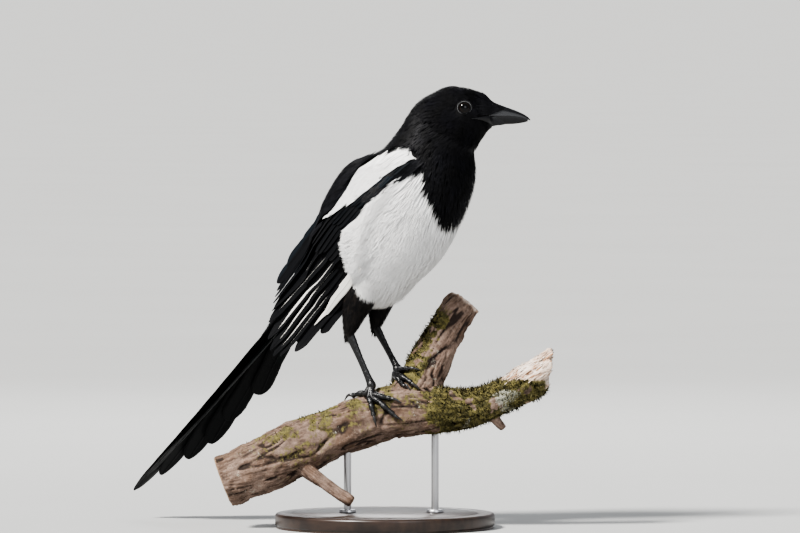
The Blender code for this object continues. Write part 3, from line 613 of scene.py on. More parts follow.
@made
def eye_glass(finish):
    """Iris and pupil under a wet cornea. Ring is 0 at the eye's middle and 1 a quarter turn out."""
    ring = finish.read("ring")
    iris = finish.noise(2600.0).mix((0.0025, 0.0018, 0.0014), (0.009, 0.0055, 0.0038))
    colour = ring.step(0.30, 0.34).mix((0.0012, 0.0012, 0.0014), iris)
    colour = ring.step(0.56, 0.64).mix(colour, (0.006, 0.0055, 0.006))
    finish.set(base_color=colour, roughness=0.05, specular_ior_level=0.22)


@made
def lid_skin(finish):
    grain = finish.cells(2300.0)
    base = grain.mix((0.0025, 0.0025, 0.003), (0.008, 0.008, 0.009))
    # Painted highlight: a pale rim on the middle ring, broken into arcs.
    broken = finish.read("rim") * (0.25 + finish.noise(420.0, detail=2.0).step(0.38, 0.62))
    finish.set(base_color=(broken * 0.8).mix(base, (0.20, 0.202, 0.205)), roughness=0.6,
               specular_ior_level=0.12)
    finish.bump(grain, 0.12, 0.7)


@made
def leg_scales(finish):
    net = finish.cells(900.0, feature="DISTANCE_TO_EDGE")
    mottle = finish.noise(420.0)
    base = mottle.mix((0.0025, 0.0025, 0.003), (0.009, 0.0088, 0.0092))
    finish.set(base_color=net.step(0.0, 0.12).mix((0.003, 0.003, 0.003), base),
               roughness=0.21 + 0.18 * mottle, specular_ior_level=0.45)
    finish.bump(net.step(0.0, 0.18) * 0.8 + mottle * 0.2, 0.10, 0.7)


@made
def claw_horn(finish):
    streaks = finish.noise((300.0, 300.0, 900.0))
    finish.set(base_color=streaks.mix((0.006, 0.006, 0.007), (0.030, 0.028, 0.028)),
               roughness=0.20 + 0.2 * streaks, specular_ior_level=0.55)
    finish.bump(streaks, 0.05, 0.5)


@made
def branch_bark(finish):
    """Weathered bark with cracks along it, moss and lichen crusts, and pale wood where it broke."""
    relief, moss, lichen, torn, cut, core = finish.read("relief", "moss", "lichen", "torn", "cut", "core")
    grain = finish.read("grain", out="Vector")
    fibre = finish.noise((90.0, 620.0, 620.0), detail=6.0, roughness=0.62, on=grain)
    patches = finish.noise(46.0, detail=4.0, roughness=0.6)
    fine = finish.noise(900.0, detail=4.0, roughness=0.7)
    speckle = finish.noise(330.0, detail=5.0, roughness=0.68)
    bark = fibre.step(0.30, 0.72).mix((0.042, 0.026, 0.019), (0.25, 0.172, 0.132))
    for share, colour in (
            (patches.step(0.45, 0.68) * 0.65, (0.31, 0.225, 0.18)),
            (patches.step(0.50, 0.34) * 0.55, (0.125, 0.075, 0.048)),
            (speckle.step(0.54, 0.70) * 0.55, (0.36, 0.285, 0.235)),
            (speckle.step(0.46, 0.32) * 0.6, (0.062, 0.038, 0.026)),
            (fine.step(0.52, 0.40) * 0.4, (0.085, 0.055, 0.040)),
            # Painted shade: the bark darkens in its cracks and hollows, where the relief is low.
            ((1 - relief.step(0.10, 0.50)) * 0.92, (0.018, 0.012, 0.010))):
        bark = share.mix(bark, colour)
    moss_colour = speckle.step(0.35, 0.65).mix((0.030, 0.029, 0.012), (0.15, 0.128, 0.045))
    bark = (moss + speckle - 0.62).step(0.0, 0.22).mix(bark, moss_colour)
    crust = (lichen + (0.5 - finish.cells(130.0)) * 0.7 + fine * 1.5 - 1.52).step(0.0, 0.26)
    pale = fine.step(0.3, 0.7).mix((0.13, 0.135, 0.10), (0.42, 0.415, 0.35))
    bark = (crust * 0.85).mix(bark, pale)
    wood = fibre.step(0.28, 0.66).mix((0.30, 0.15, 0.075), (0.72, 0.60, 0.50))
    wood = (patches.step(0.42, 0.6) * 0.6).mix(wood, (0.80, 0.74, 0.68))
    growth = (core * 2.4 + patches * 5.0).wave() * 0.6 + fine * 0.4
    sawn = growth.mix((0.27, 0.17, 0.10), (0.50, 0.37, 0.25))
    sawn = (core.step(9.0, 3.0) * 0.5).mix(sawn, (0.24, 0.13, 0.075))
    finish.set(base_color=cut.mix(torn.mix(bark, wood), sawn), roughness=0.78 + 0.15 * fine,
               specular_ior_level=0.2)
    finish.bump(fibre * 0.6 + fine * 0.25 + speckle * moss * 0.5, 0.9, 0.9)


@made
def moss_blade(finish):
    tone, reach = finish.read("tone", "reach")
    young = tone.step(0.25, 0.8).mix((0.090, 0.068, 0.034), (0.18, 0.158, 0.065))
    finish.set(base_color=reach.mix((0.035, 0.032, 0.014), young), roughness=0.8, specular_ior_level=0.2)


@made
def splinter_wood(finish):
    finish.set(base_color=finish.read("tone").mix((0.34, 0.17, 0.08), (0.80, 0.70, 0.61)),
               roughness=0.7, specular_ior_level=0.25)


@made
def stand_lacquer(finish):
    """Dark lacquered wood of the display stand's base."""
    rings = finish.noise((14.0, 150.0, 60.0), detail=5.0, roughness=0.6)
    pores = finish.noise((120.0, 2200.0, 900.0), detail=2.0)
    stain = rings.step(0.3, 0.7).mix((0.014, 0.0085, 0.0065), (0.038, 0.022, 0.015))
    finish.set(base_color=(pores.step(0.6, 0.75) * 0.5).mix(stain, (0.008, 0.005, 0.004)),
               roughness=0.26 + 0.16 * finish.noise(60.0), specular_ior_level=0.5)
    finish.bump(pores, 0.03, 0.4)


@made
def stand_steel(finish):
    brushed = finish.noise((90.0, 90.0, 9000.0), detail=2.0)
    finish.set(base_color=(0.52, 0.52, 0.53), metallic=1.0, roughness=0.24 + 0.2 * brushed)
    finish.bump(brushed, 0.01, 0.4)


@made
def studio_floor(finish):
    finish.set(base_color=finish.noise(3.0).mix((0.42, 0.425, 0.42), (0.45, 0.455, 0.45)),
               roughness=0.9, specular_ior_level=0.1)


# Body: one skin for torso, neck, head and thighs, and the coat that grows on it.


GRID_SIDES = 96
# Thighs: hip and ankle, and radii from one to the other.
THIGHS = {
    "right": ((-9.0, -20.0, 199.0), (-23.0, -18.0, 156.5)),
    "left": ((-12.0, 20.5, 202.0), (-19.5, 18.5, 160.0)),
}
THIGH_RADII = [17, 16, 13.4, 10.4, 7.4, 4.2]
THIGH_RINGS = 26
THIGH_COAT = 1.8
# The bib's lower edge on the bird's side and front, as (h, s) on the torso's side plane.
BIB_EDGE = [(-64, 25), (-50, 21), (-47.5, 20.5), (-41.6, 14), (-32.4, 5.8), (-22, -1.3), (-9, -11.3),
            (8, -20), (24, -26)]
# The white belly's rear edge, in the same way.
VENT_EDGE = [(-70, 96), (-50, 103), (-38, 107), (-20, 106), (-8, 108), (6, 104), (20, 90)]

# The white scapulars' patch on (s, h), round its outline.
SCAPULARS = [(-13.5, 14.9), (-18.4, 5.9), (-19.0, -2.6), (-13.3, -2.6), (-6.6, 0.7), (1.7, 3.9),
             (11.7, 6.5), (22.8, 8.7), (33.5, 12.2), (41.7, 14.3), (48.8, 14.8), (48.4, 19.1),
             (54.7, 20.7), (64.2, 24.6), (76.6, 32.4), (75.8, 35.4), (61.8, 29.0), (50.9, 26.8),
             (41.5, 26.6), (34.0, 28.0), (24.9, 29.6), (14.2, 29.2), (1.6, 25.7), (-7.5, 20.5)]
# How high the black feathers above it reach, and the flank's white edge on the wing.
SHOULDER_TOP = [(-16, 18), (-9, 25.6), (2, 32.5), (12, 38), (24, 45), (40, 51), (74, 50), (90, 45)]
FLANK_EDGE = [(-12, -9.5), (0, -5.1), (10, -2.8), (27, 0.1), (47, 1.6), (62, 7.3), (73, 4.4), (80, 0.4),
              (85, -5.7), (90.5, -12), (94.6, -19.8), (101, -25), (106, -27)]
# Where the white fringe ends over the thighs: the height of its tips at each x.
FRINGE_EDGE = [(-24, 212), (-17, 205), (-12, 198), (-9, 190), (-6, 184), (-2, 180), (8, 176.5)]
# How low on the torso's side the folded wing covers it, as (s, h).
WING_COVER = [(-12, 12), (8, 12), (30, 16), (56, 20), (84, 16), (112, 12)]
# The rows where the breast, the neck, the head and the face start.
BREAST_START, NECK_START, HEAD_START, FACE_START = (at * RING_STEPS for at in (10.0, 12.8, 15.4, 19.2))
# How far apart the feathers' roots are at each row, and the last row that bears any.
LAST_ROW = 207
ROOT_GAPS = [(0, 3.4), (40, 3.2), (120, 3.0), (145, 2.6), (175, 1.9), (200, 1.35), (LAST_ROW, 1.15)]

# A kind of body feather: its length, blades, a blade's width, the fan's angle, its lift and curl, how
# unruly it lies, and the points along a blade.
Feather = namedtuple("Feather", "length strands width fan lift curl unruly points", defaults=(0.05, 4))
FACE = Feather(4.6, 5, 0.62, 17, 0.15, 0.10)
CROWN = Feather(7.5, 6, 0.72, 16, 0.15, 0.10)
THROAT = Feather(13, 7, 0.72, 8, 0.5, 0.10, 0.07)
NAPE = Feather(13, 7, 0.85, 9, 0.25, 0.07, 0.04)
MANTLE = Feather(16, 6, 1.4, 15, 0.3, 0.06)
BELLY = Feather(25, 10, 0.70, 8, 0.6, 0.02, 0.025, 5)
VENT = Feather(24, 6, 1.5, 10, 0.6, 0.08)
THIGH = Feather(9.5, 6, 0.80, 17, 1.1, 0.16, 0.16)
THIGH_FRINGE = Feather(22, 8, 0.75, 9, 1.3, 0.06, 0.07, 5)
SCAPULAR = Feather(22, 10, 1.05, 6, 0.9, 0.015, 0.015, 5)
LESSER = Feather(10, 7, 0.9, 14, 0.4, 0.07)
SHOULDER = Feather(17, 8, 1.0, 10, 0.9, 0.05, 0.04)
FLANK = Feather(24, 10, 0.66, 9, 0.8, 0.05, 0.07, 5)

body = Surface(body_grid(smooth_table(STUMP_RINGS + BODY_RINGS, RING_STEPS)))
body_tree = tree_of(body_grid(smooth_table(BODY_RINGS, 8)))

pitch = math.radians(TORSO_PITCH)
shoulder = np.array((SHOULDER_X, 0.0, SHOULDER_Z))
tailward = np.array((-math.cos(pitch), 0.0, -math.sin(pitch)))
dorsal = np.array((-math.sin(pitch), 0.0, math.cos(pitch)))


def side_plane(places):
    """Where places lie on the torso's side plane: s tailward of the shoulder and h dorsal of it."""
    return (places - shoulder) @ tailward, (places - shoulder) @ dorsal


def within(outline, s, h):
    """True where places (s, h) lie inside an outline."""
    inside = np.zeros(np.shape(s), bool)
    for (s0, h0), (s1, h1) in zip(outline, outline[1:] + outline[:1]):
        crosses = (h0 > h) != (h1 > h)
        inside ^= crosses & (s < s0 + (h - h0) / ((h1 - h0) or 1e-9) * (s1 - s0))
    return inside


def off_scapulars(places):
    return ~(within(SCAPULARS, *side_plane(places)) & (np.abs(places[..., 1]) > 15))


def whiteness(places, reach=0.0):
    """1 on the white breast, belly and flanks. Reach is how far a feather's tip is from its root."""
    s, h = side_plane(places)
    wander = ripple(places, 7.0, 1.0) * 2.2
    past_bib = s + reach * 0.75 + wander - curve(BIB_EDGE, h)
    before_vent = curve(VENT_EDGE, h) - s - reach * 0.75 + wander
    low_enough = 26.0 - h
    return np.clip(0.5 + np.minimum(np.minimum(past_bib, before_vent), low_enough) * 0.5, 0.0, 1.0)


def coat_depth(u):
    return curve([(at * RING_STEPS, depth) for at, depth in COAT_DEPTH], u)


def thigh_grid(side, first=0.0, last=1.0, slim=1.0):
    """Rings round a thigh from one share of its length to another, the ankle at 0 and hip at 1."""
    hip, ankle = (np.array(p) for p in THIGHS[side])
    share = np.linspace(first, last, THIGH_RINGS)
    radii = smooth_table([(r,) for r in reversed(THIGH_RADII)], 5)[:, 0]
    radii = np.interp(share, np.linspace(0, 1, THIGH_RINGS), radii) * (1 - (1 - slim) * ease(share, 0.5, 0.9))
    return tube_rings(ankle + (hip - ankle) * share[:, None], radii, 48, 0.9)


thighs = {side: Surface(thigh_grid(side)) for side in THIGHS}


def build_skin():
    """The skin inside the coat, joined from the body's and the thighs' shells by a remesh."""
    depth = coat_depth(np.arange(body.rows))[:, None, None]
    shell = bridged(bmesh.new(), (body.grid - body.normals * depth)[4::4, ::2])
    for leg in thighs.values():
        bridged(shell, (leg.grid - leg.normals * THIGH_COAT)[::3, ::2])
    mesh = remeshed("skin", shell, 1.5, 3)
    places = point_places(mesh)
    mark(mesh, white=whiteness(places), tone=0.35 + 0.2 * ripple(places, 3.0), reach=0, sheen=0, shade=0)
    place_mesh("skin", mesh, plumage, "black_feather", "head", "neck", "torso", "thigh_left", "thigh_right")


def scatter(surface, spacing, first, last):
    """Roots over a surface's rows from first to last, a spacing apart, each row shifted by half."""
    us, vs = [], []
    u = float(last)
    shifted = 0.0
    while u > first:
        at = min(int(u), surface.rows - 1)
        gap = spacing(u)
        ring = np.concatenate([[0.0], np.cumsum(np.linalg.norm(surface.around[at], axis=-1))])
        count = max(4, int(ring[-1] / gap))
        wanted = ((np.arange(count) + shifted) / count) % 1.0 * ring[-1]
        us.append(np.full(count, u))
        vs.append(np.interp(wanted, ring, np.arange(surface.columns + 1)))
        shifted = 0.5 - shifted
        u -= 0.87 * gap / np.linalg.norm(surface.along[at], axis=-1).mean()
    u, v = np.concatenate(us), np.concatenate(vs)
    stride = np.linalg.norm(surface.read(surface.along, u, v), axis=-1)
    reach = np.linalg.norm(surface.read(surface.around, u, v), axis=-1)
    gap = np.array([spacing(x) for x in u])
    u = np.clip(u + draw.uniform(-0.3, 0.3, len(u)) * gap / stride, first, last)
    return u, v + draw.uniform(-0.3, 0.3, len(u)) * gap / reach


def fitted(surface, u, v, turn, feather, allowed):
    """The share of a feather's length, from its root on, that lies where it is allowed."""
    steps = 14
    path, _ = surface.walk(u, v, turn, np.full(len(u), float(feather.length)), steps)
    return (np.cumprod(allowed(path), axis=1).sum(axis=1) - 1) / (steps - 1)


def coat_piece(name, surface, u, v, kind, deep=None, size=None, turn=0.0, droop=0.0, white=0.0, shade=0.0,
               sheen=0.0, mirror=False):
    """A piece of the coat: feathers of one kind with roots at (u, v), each a fan of blades.

    Deep is how far their roots lie under the surface, and droop how far their tips hang down.
    """
    count, strands = len(u), kind.strands
    blades = count * strands

    def per_blade(value):
        return np.repeat(value + np.zeros(count), strands)

    turn = (draw.normal(0, kind.unruly, count) + turn)[:, None]
    size = draw.uniform(0.82, 1.14, count) if size is None else size
    at = np.tile(np.linspace(-1, 1, strands), (count, 1))
    at = at + draw.uniform(-0.5, 0.5, (count, strands)) / strands
    fan = math.radians(kind.fan)
    reach = kind.length * size[:, None] * (1 - 0.22 * at**2) * draw.uniform(0.88, 1.06, (count, strands))
    sway = -at.reshape(-1) * fan * 1.1 + draw.normal(0, kind.curl, blades)
    path, normals = surface.walk(per_blade(u), per_blade(v), (turn + at * fan).reshape(-1),
                                 reach.reshape(-1), kind.points, sway)
    share = np.linspace(0, 1, kind.points)
    depth = per_blade(coat_depth(u) if deep is None else deep)
    stand = draw.uniform(0.6, 1.0, blades) * kind.lift
    height = -depth[:, None] * (1 - share) ** 0.8 + stand[:, None] * share**1.5
    height = height + (0.35 * draw.random(blades))[:, None] * share
    path = path + normals * height[..., None]
    path[..., 2] -= per_blade(droop)[:, None] * share**2
    profile = 0.62 + 0.38 * np.sin(np.pi * np.minimum(1.0, share * 1.15))
    widths = kind.width * profile * draw.uniform(0.8, 1.2, blades)[:, None]
    tone = per_blade(np.clip(draw.normal(0.5, 0.2, count), 0, 1)) + draw.uniform(-0.18, 0.18, blades)
    values = {"tone": tone, "white": per_blade(white), "shade": per_blade(shade), "sheen": per_blade(sheen)}
    low, high = u.min(), u.max()
    roots = np.stack([(v % surface.columns) / surface.columns * 0.96 + 0.02,
                      (u - low) / max(high - low, 1e-6) * 0.96 + 0.02], axis=1)
    mesh = blade_mesh(name, path, normals, widths, 0.22, values, np.repeat(roots, strands, axis=0))
    if mirror:
        mirrored(mesh)
    place_mesh(name, mesh, plumage, "white_feather" if np.any(white) else "black_feather")


def covered_by_wing(places):
    """True well inside the folded wings, where no body feather shows."""
    s, h = side_plane(places)
    return (s > -6) & (s < 100) & (h > curve(WING_COVER, s)) & (h < 33) & (np.abs(places[:, 1]) > 14)


def inside_body(places, margin):
    """True where places lie deeper than a margin inside the body."""
    nearest = [(Vector(place), *body_tree.find_nearest(Vector(place))[:2]) for place in places]
    return np.array([(place - near).dot(normal) > margin for place, near, normal in nearest])


def on_brow(places):
    """1 on top of the forehead, where the feathers stand a little higher."""
    turn = math.radians(HEAD_TURN)
    forward = (places[:, 0] - NECK_PIVOT_X) * math.cos(turn) + places[:, 1] * math.sin(turn) + NECK_PIVOT_X
    return np.exp(-((forward - 87.5) / 3.6) ** 2) * ease(places[:, 2], 338, 345)


def body_coat():
    """The coat of the head, neck and torso, from the bill backwards."""
    u, v = scatter(body, lambda row: curve(ROOT_GAPS, row), 2, LAST_ROW)
    places = body.places(u, v)
    eyes = np.array([head_points(EYE_FORWARD, EYE_HEIGHT, side * 17.5) for side in (-1, 1)])
    clear = np.min(np.linalg.norm(places[:, None] - eyes[None], axis=-1), axis=1) > 6.4
    keep = clear & ~covered_by_wing(places)
    u, v, places = u[keep], v[keep], places[keep]
    s, h = side_plane(places)
    around = v % GRID_SIDES / GRID_SIDES
    back = np.minimum(around, 1 - around) < 0.17
    trunk = u <= NECK_START
    left = np.ones(len(u), bool)
    for name, chosen, feather in (
            ("coat_face", u > FACE_START, FACE),
            ("coat_crown", u > HEAD_START, CROWN),
            ("coat_neck", u > NECK_START, NAPE),
            ("coat_bib", trunk & (whiteness(places, 13) < 0.5) & (u > BREAST_START) & ~back, THROAT),
            ("coat_mantle", trunk & (u > 45) & back, MANTLE)):
        chosen = chosen & left
        left &= ~chosen
        size = fitted(body, u, v, np.zeros(len(u)), feather, off_scapulars)
        chosen &= size > 0.3
        sheen = np.clip(0.35 + 0.5 * ripple(places[chosen], 9.0), 0, 1)
        coat_piece(name, body, u[chosen], v[chosen], feather, sheen=sheen,
                   size=size[chosen] * draw.uniform(0.84, 1.08, chosen.sum()),
                   droop=-1.3 * on_brow(places[chosen]))
    white = whiteness(places, 17) > 0.5
    lock = ripple(places, 17.0, 3.0)
    cuts = np.quantile(u[left & white], (0, 0.25, 0.5, 0.75, 1))
    for i in range(4):
        chosen = left & white & (u >= cuts[i]) & ((u < cuts[i + 1]) | (i == 3))
        # Painted shade: the belly's white greys towards the bird's left, its far side.
        far_side_shade = ease(places[chosen, 1] - places[chosen, 0] * 0.4, 5, 45)
        buff = ease(s[chosen], 60, 105) * ease(-h[chosen], 18, 44) * 0.4
        normals = unit(body.read(body.normals, u[chosen], v[chosen]))
        coat_piece(f"coat_belly_{i + 1}", body, u[chosen], v[chosen], BELLY, turn=0.09 * lock[chosen],
                   droop=8.0 * ease(s[chosen], 55, 80) * ease(-normals[:, 2], 0.2, 0.8),
                   white=1.0, shade=np.clip(buff + 0.1 * far_side_shade, 0, 1))
    dark = left & ~white
    coat_piece("coat_vent", body, u[dark], v[dark], VENT, sheen=0.2)


def thigh_coat():
    """Black feathers down the thighs, and over their tops the belly's white fringe."""
    for side, surface in thighs.items():
        u, v = scatter(surface, lambda row: 2.1, 1, surface.rows - 2)
        places = surface.places(u, v)
        keep = ~inside_body(places, 3.0) & (places[:, 2] < curve(FRINGE_EDGE, places[:, 0]) + 9)
        coat_piece(f"coat_thigh_{side}", surface, u[keep], v[keep], THIGH, deep=THIGH_COAT, sheen=0.1,
                   shade=np.clip(0.5 + 0.8 * ripple(places[keep], 3.2), 0, 1))
        drape = Surface(thigh_grid(side, 0.3, 1.45, 0.9))
        u, v = scatter(drape, lambda row: 2.1, 1, drape.rows - 2)
        places = drape.places(u, v)
        longest = THIGH_FRINGE.length
        edge = curve(FRINGE_EDGE, places[:, 0] - 0.3 * longest) + 2.0 * ripple(places, 4.0)
        size = np.minimum((places[:, 2] - edge) / longest, 1.0)
        keep = (size > 0.3) & ~inside_body(places, 11.0)
        coat_piece(f"fringe_{side}", drape, u[keep], v[keep], THIGH_FRINGE, deep=1.0, size=size[keep],
                   white=1.0, shade=0.1)


# Wings and tail: feathers laid over one another in tiers, each a thin vane with its own shaft.


WING_STEP = 2.0
WING_S = np.arange(-40.0, 210.0, WING_STEP)
WING_H = np.arange(-64.0, 70.0, WING_STEP)
WING_SOFT = 4.0
OUTWARD = np.array((0.0, -1.0, 0.0))


def wing_side(s, h):
    """How far out from the middle plane the folded wing's inner face lies, at (s, h)."""
    place = shoulder + tailward * s + dorsal * h
    hit = body_tree.ray_cast(Vector(place) + Vector((0, -90, 0)), Vector((0, 1, 0)))[0]
    torso_side = -hit.y if hit and hit.y < 0 else 0.0
    plate = 8.0 + 13.0 * ease(43 - h, 0, 22) + 4.0 * ease(s, 165, 195)
    high, low = max(torso_side, plate), min(torso_side, plate)
    return high + WING_CLEARANCE + WING_SOFT * math.exp(-(high - low) / WING_SOFT) * 0.5


# The face's falls towards the tail are made gentle, by a slope for each height on the wing.
wing_out = np.array([[wing_side(s, h) for h in WING_H] for s in WING_S])
wing_fall = (0.34 + 2.0 * ease(-WING_H, 16, 34)) * WING_STEP
for near, far in zip(wing_out, wing_out[1:]):
    far[:] = np.maximum(far, near - wing_fall)


def wing_reach(s, h):
    return read_grid(wing_out[..., None], (s - WING_S[0]) / WING_STEP, (h - WING_H[0]) / WING_STEP)[..., 0]


def wing_places(s, h, lift):
    """Points of the right wing at heights above its inner face, and that face's normals."""
    s, h = np.asarray(s, float), np.asarray(h, float)
    step = 1.5
    slope_s = (wing_reach(s + step, h) - wing_reach(s - step, h)) / (2 * step)
    slope_h = (wing_reach(s, h + step) - wing_reach(s, h - step)) / (2 * step)
    slope_s, slope_h = (np.clip(slope, -1.4, 1.4)[..., None] for slope in (slope_s, slope_h))
    normal = unit(OUTWARD - tailward * slope_s - dorsal * slope_h)
    base = shoulder + tailward * s[..., None] + dorsal * h[..., None]
    base = base + OUTWARD * wing_reach(s, h)[..., None]
    return base + normal * np.asarray(lift, float)[..., None], normal


def fold(s, h, closed):
    """Where a place (s, h) of the wing goes when its lower edge is drawn up and shut."""
    return s, h + closed * ease(s, -20, 150) * np.clip((34 - h) / 50, 0.0, 1.3)


# A vane's columns, from its dorsal edge across the shaft to its ventral edge.
VANE_COLUMNS = np.array([-1.0, -0.8, -0.58, -0.36, -0.16, -0.05, 0.0, 0.05, 0.16, 0.36, 0.58, 0.8, 1.0])
NO_STREAK = -4.0


def vane_shape(t, blunt, taper=0.35, fine=0.0):
    """Half widths along a vane, as shares of its widest: a narrow foot and a rounded tip."""
    foot = taper + (1 - taper) * ease(t, 0.0, 0.4)
    end = np.clip((t - (1 - blunt)) / blunt, 0.0, 1.0)
    return foot * (np.sqrt(np.clip(1 - end**2, 0.0004, 1.0)) * (1 - fine * end))


class VaneSet:
    """Vanes gathered for one mesh. Each takes cells of its own on a second map, OFBake."""

    def __init__(self):
        self.places, self.faces, self.maps, self.cells = [], [], [], []
        self.values = {key: [] for key in ("stripe", "gloss", "hue", "tone")}
        self.count = 0
        self.points = 0

    def lay(self, centre, side, up, half_widths, stripe=None, gloss=0.0, hue=0.0, shaft_at=0.0,
            camber=0.10, thick=0.3, ragged=0.04):
        """Adds a vane. Side points to its dorsal edge; half widths are in millimetres."""
        across = VANE_COLUMNS
        rows, columns = len(centre), len(across)
        half = half_widths[:, None]
        stretched = np.where(across < 0, across * (1 + shaft_at), across * (1 - shaft_at))
        wear = 1 + ripple(centre * 1.0, 2.2, self.count)[:, None] * ragged * np.abs(across)[None] ** 3
        offset = -stretched[None] * half * wear
        sink = camber * np.abs(offset) ** 1.6 / np.maximum(half, 1.0) ** 0.6
        ridge = np.where(np.abs(across) < 0.01, 0.30, 0.0)[None] * np.minimum(1.0, half / 3)
        edge = 1 - 0.75 * (np.abs(across) > 0.99)
        flat = centre[:, None] + side[:, None] * offset[..., None]
        for height in (ridge - sink + thick / 2, -ridge * 0.6 - sink + thick / 2 - thick * edge[None]):
            self.places.append((flat + up[:, None] * height[..., None]).reshape(-1, 3))

        shift = rows * columns
        index = np.arange(shift).reshape(rows, columns)
        a, b, c, d = index[:-1, :-1], index[:-1, 1:], index[1:, 1:], index[1:, :-1]
        upper = np.stack([np.stack([a, b, c], -1), np.stack([a, c, d], -1)], 2).reshape(-1, 3)
        rim = np.concatenate([index[0], index[1:, -1], index[-1, -2::-1], index[-2:0:-1, 0]])
        ahead = np.roll(rim, -1)
        faces = np.concatenate([upper, upper[:, ::-1] + shift, np.stack([rim, rim + shift, ahead], -1),
                                np.stack([ahead, rim + shift, ahead + shift], -1)])
        handed = np.sum(np.cross(side, np.gradient(centre, axis=0)) * up)
        self.faces.append((faces[:, ::-1] if handed > 0 else faces) + self.points)

        along = np.cumsum(np.linalg.norm(np.diff(centre, axis=0, prepend=centre[:1]), axis=1))[:, None]
        along = along / along[-1]
        lie = np.stack(np.broadcast_arrays((across[None] + 1) / 2, along), -1).reshape(-1, 2)
        values = {"stripe": stripe(offset) if stripe else NO_STREAK,
                  "gloss": gloss(along, across) if callable(gloss) else gloss,
                  "hue": hue, "tone": draw.uniform(0.15, 0.75)}
        for i in (0, 1):
            self.maps.append(lie)
            self.cells.append(np.full(shift, self.count * 2 + i))
            for key, value in values.items():
                self.values[key].append(np.broadcast_to(value, (rows, columns)).reshape(-1))
        self.count += 1
        self.points += 2 * shift

    def mesh(self, name):
        values = {key: np.concatenate(value) for key, value in self.values.items()}
        lie = np.concatenate(self.maps)
        cells = np.concatenate(self.cells)
        wide = math.ceil(math.sqrt(self.count * 2 / 4)) * 4
        tall = math.ceil(self.count * 2 / wide)
        baked = (np.stack([cells % wide, cells // wide], -1) + 0.04 + 0.92 * lie) / (wide, tall)
        return array_mesh(name, np.concatenate(self.places), np.concatenate(self.faces), values,
                          {"Vane": lie, "OFBake": baked})


def stations(count):
    """Places along a vane, closer together towards its tip."""
    return 1 - (1 - np.linspace(0, 1, count)) ** 1.5


def streak_depth(streak, places):
    """How far inside a white streak places (s, h) lie. Its rows are (s, h, half width)."""
    at, middle, half = zip(*streak)
    s, h = places[..., 0], places[..., 1]
    return np.minimum(np.interp(s, at, half) - np.abs(h - np.interp(s, at, middle)),
                      np.minimum(s - at[0], at[-1] - s))


def lay_wing_feather(vanes, course, width, lifts, closed, pitch, streak=None, blunt=0.16, fine=0.2,
                     count=22, taper=0.35, **marks):
    """A feather of the right wing over its course of points (s, h), rising between two lifts.

    Pitch is how far below it the next one lies, which it tilts to cover.
    """
    t = stations(count)
    course = smooth_table(course, 12)
    at_s = course[0, 0] + (course[-1, 0] - course[0, 0]) * t
    line = np.stack([at_s, np.interp(at_s, course[:, 0], course[:, 1])], 1)
    run = line[-1] - line[0]
    across = np.array((-run[1], run[0])) / np.linalg.norm(run)
    s, h = fold(line[:, 0], line[:, 1], closed)
    lift = lifts[0] + (lifts[1] - lifts[0]) * np.minimum(1.0, t / 0.33)
    centre, normal = wing_places(s, h, lift)
    edge, _ = wing_places(s + across[0] * 3, h + across[1] * 3, lift)
    side = unit(edge - centre)
    up = unit(normal - side * dot(normal, side))
    tilt = math.atan(min(0.45, 1.0 / pitch))
    if streak:
        marks["stripe"] = lambda offset: streak_depth(streak, line[:, None] + across * offset[..., None])
    to_edge = side * math.cos(tilt) - up * math.sin(tilt)
    outward = up * math.cos(tilt) + side * math.sin(tilt)
    vanes.lay(centre, to_edge, outward, width / 2 * vane_shape(t, blunt, taper, fine), **marks)


# Primaries: course, width dorsal and ventral of the shaft, and the white streak as (s, h, half width).
PRIMARIES = [
    ([(62, 11), (95, 17.4), (113, 20.3), (135, 21.6), (168, 26.5)], 7.5, 2.4,
     [(97, 18.6, 0.0), (111, 21.0, 0.25), (125, 22.6, 0.0)]),
    ([(62, 4), (95, 8.5), (113, 13.0), (135, 18.0), (176, 22.5)], 7.5, 3.6,
     [(91, 8.4, 0.0), (113, 14.0, 0.25), (131, 18.6, 0.35), (150, 21.0, 0.3), (165, 22.8, 0.0)]),
    ([(62, -3), (78, -1.8), (100, 1.4), (118, 4.8), (135, 10.4), (186, 14.0)], 7.0, 2.8,
     [(78, -0.7, 0.0), (100, 2.3, 0.25), (118, 6.0, 0.6), (135, 11.4, 1.05), (155, 12.6, 0.95),
      (174, 12.8, 0.0)]),
    ([(64, -8), (78, -6.4), (95, -3.5), (115, 0.8), (135, 4.9), (191, 6.6)], 7.0, 3.4,
     [(94, -2.7, 0.0), (115, 1.9, 0.35), (134, 6.0, 0.75), (158, 6.6, 0.7), (180, 6.0, 0.0)]),
    ([(65, -11), (78, -10.2), (95, -8.5), (115, -5.2), (135, -1.4), (193, 1.2)], 6.5, 2.8,
     [(112, -5.0, 0.0), (128, -1.8, 0.3), (150, 0.2, 0.6), (168, 0.8, 0.45), (183, 0.9, 0.0)]),
    ([(66, -14), (78, -13.4), (95, -12.0), (115, -9.4), (135, -5.6), (189, -3.6)], 6.0, 2.2,
     [(117, -8.2, 0.0), (140, -4.2, 0.4), (160, -3.2, 0.4), (176, -3.0, 0.0)]),
    ([(86, -18.5), (97, -18.3), (113, -16.5), (135, -14.2), (178, -10.8)], 7.0, 4.2, None),
    ([(98, -22.5), (113, -22.3), (131, -20.2), (151, -19.2)], 6.0, 5.0, None),
]
# The broad white web below them.
WHITE_BLADE = [(80, -18.6), (94, -17.2), (111, -14.8), (130, -13.0), (149.5, -11.2)]
WHITE_BLADE_WIDTH = 9.0
# Flat vanes under all the rest, which close the gaps between them, as courses.
LININGS = [((62, -12), (150, -8)), ((64, -6), (165, 3)), ((62, 2), (165, 11)), ((58, 9), (160, 17)),
           ((30, 18), (164, 22)), ((30, 24), (174, 25)), ((34, 30), (166, 29)), ((38, 36), (132, 38)),
           ((42, 41), (112, 42))]
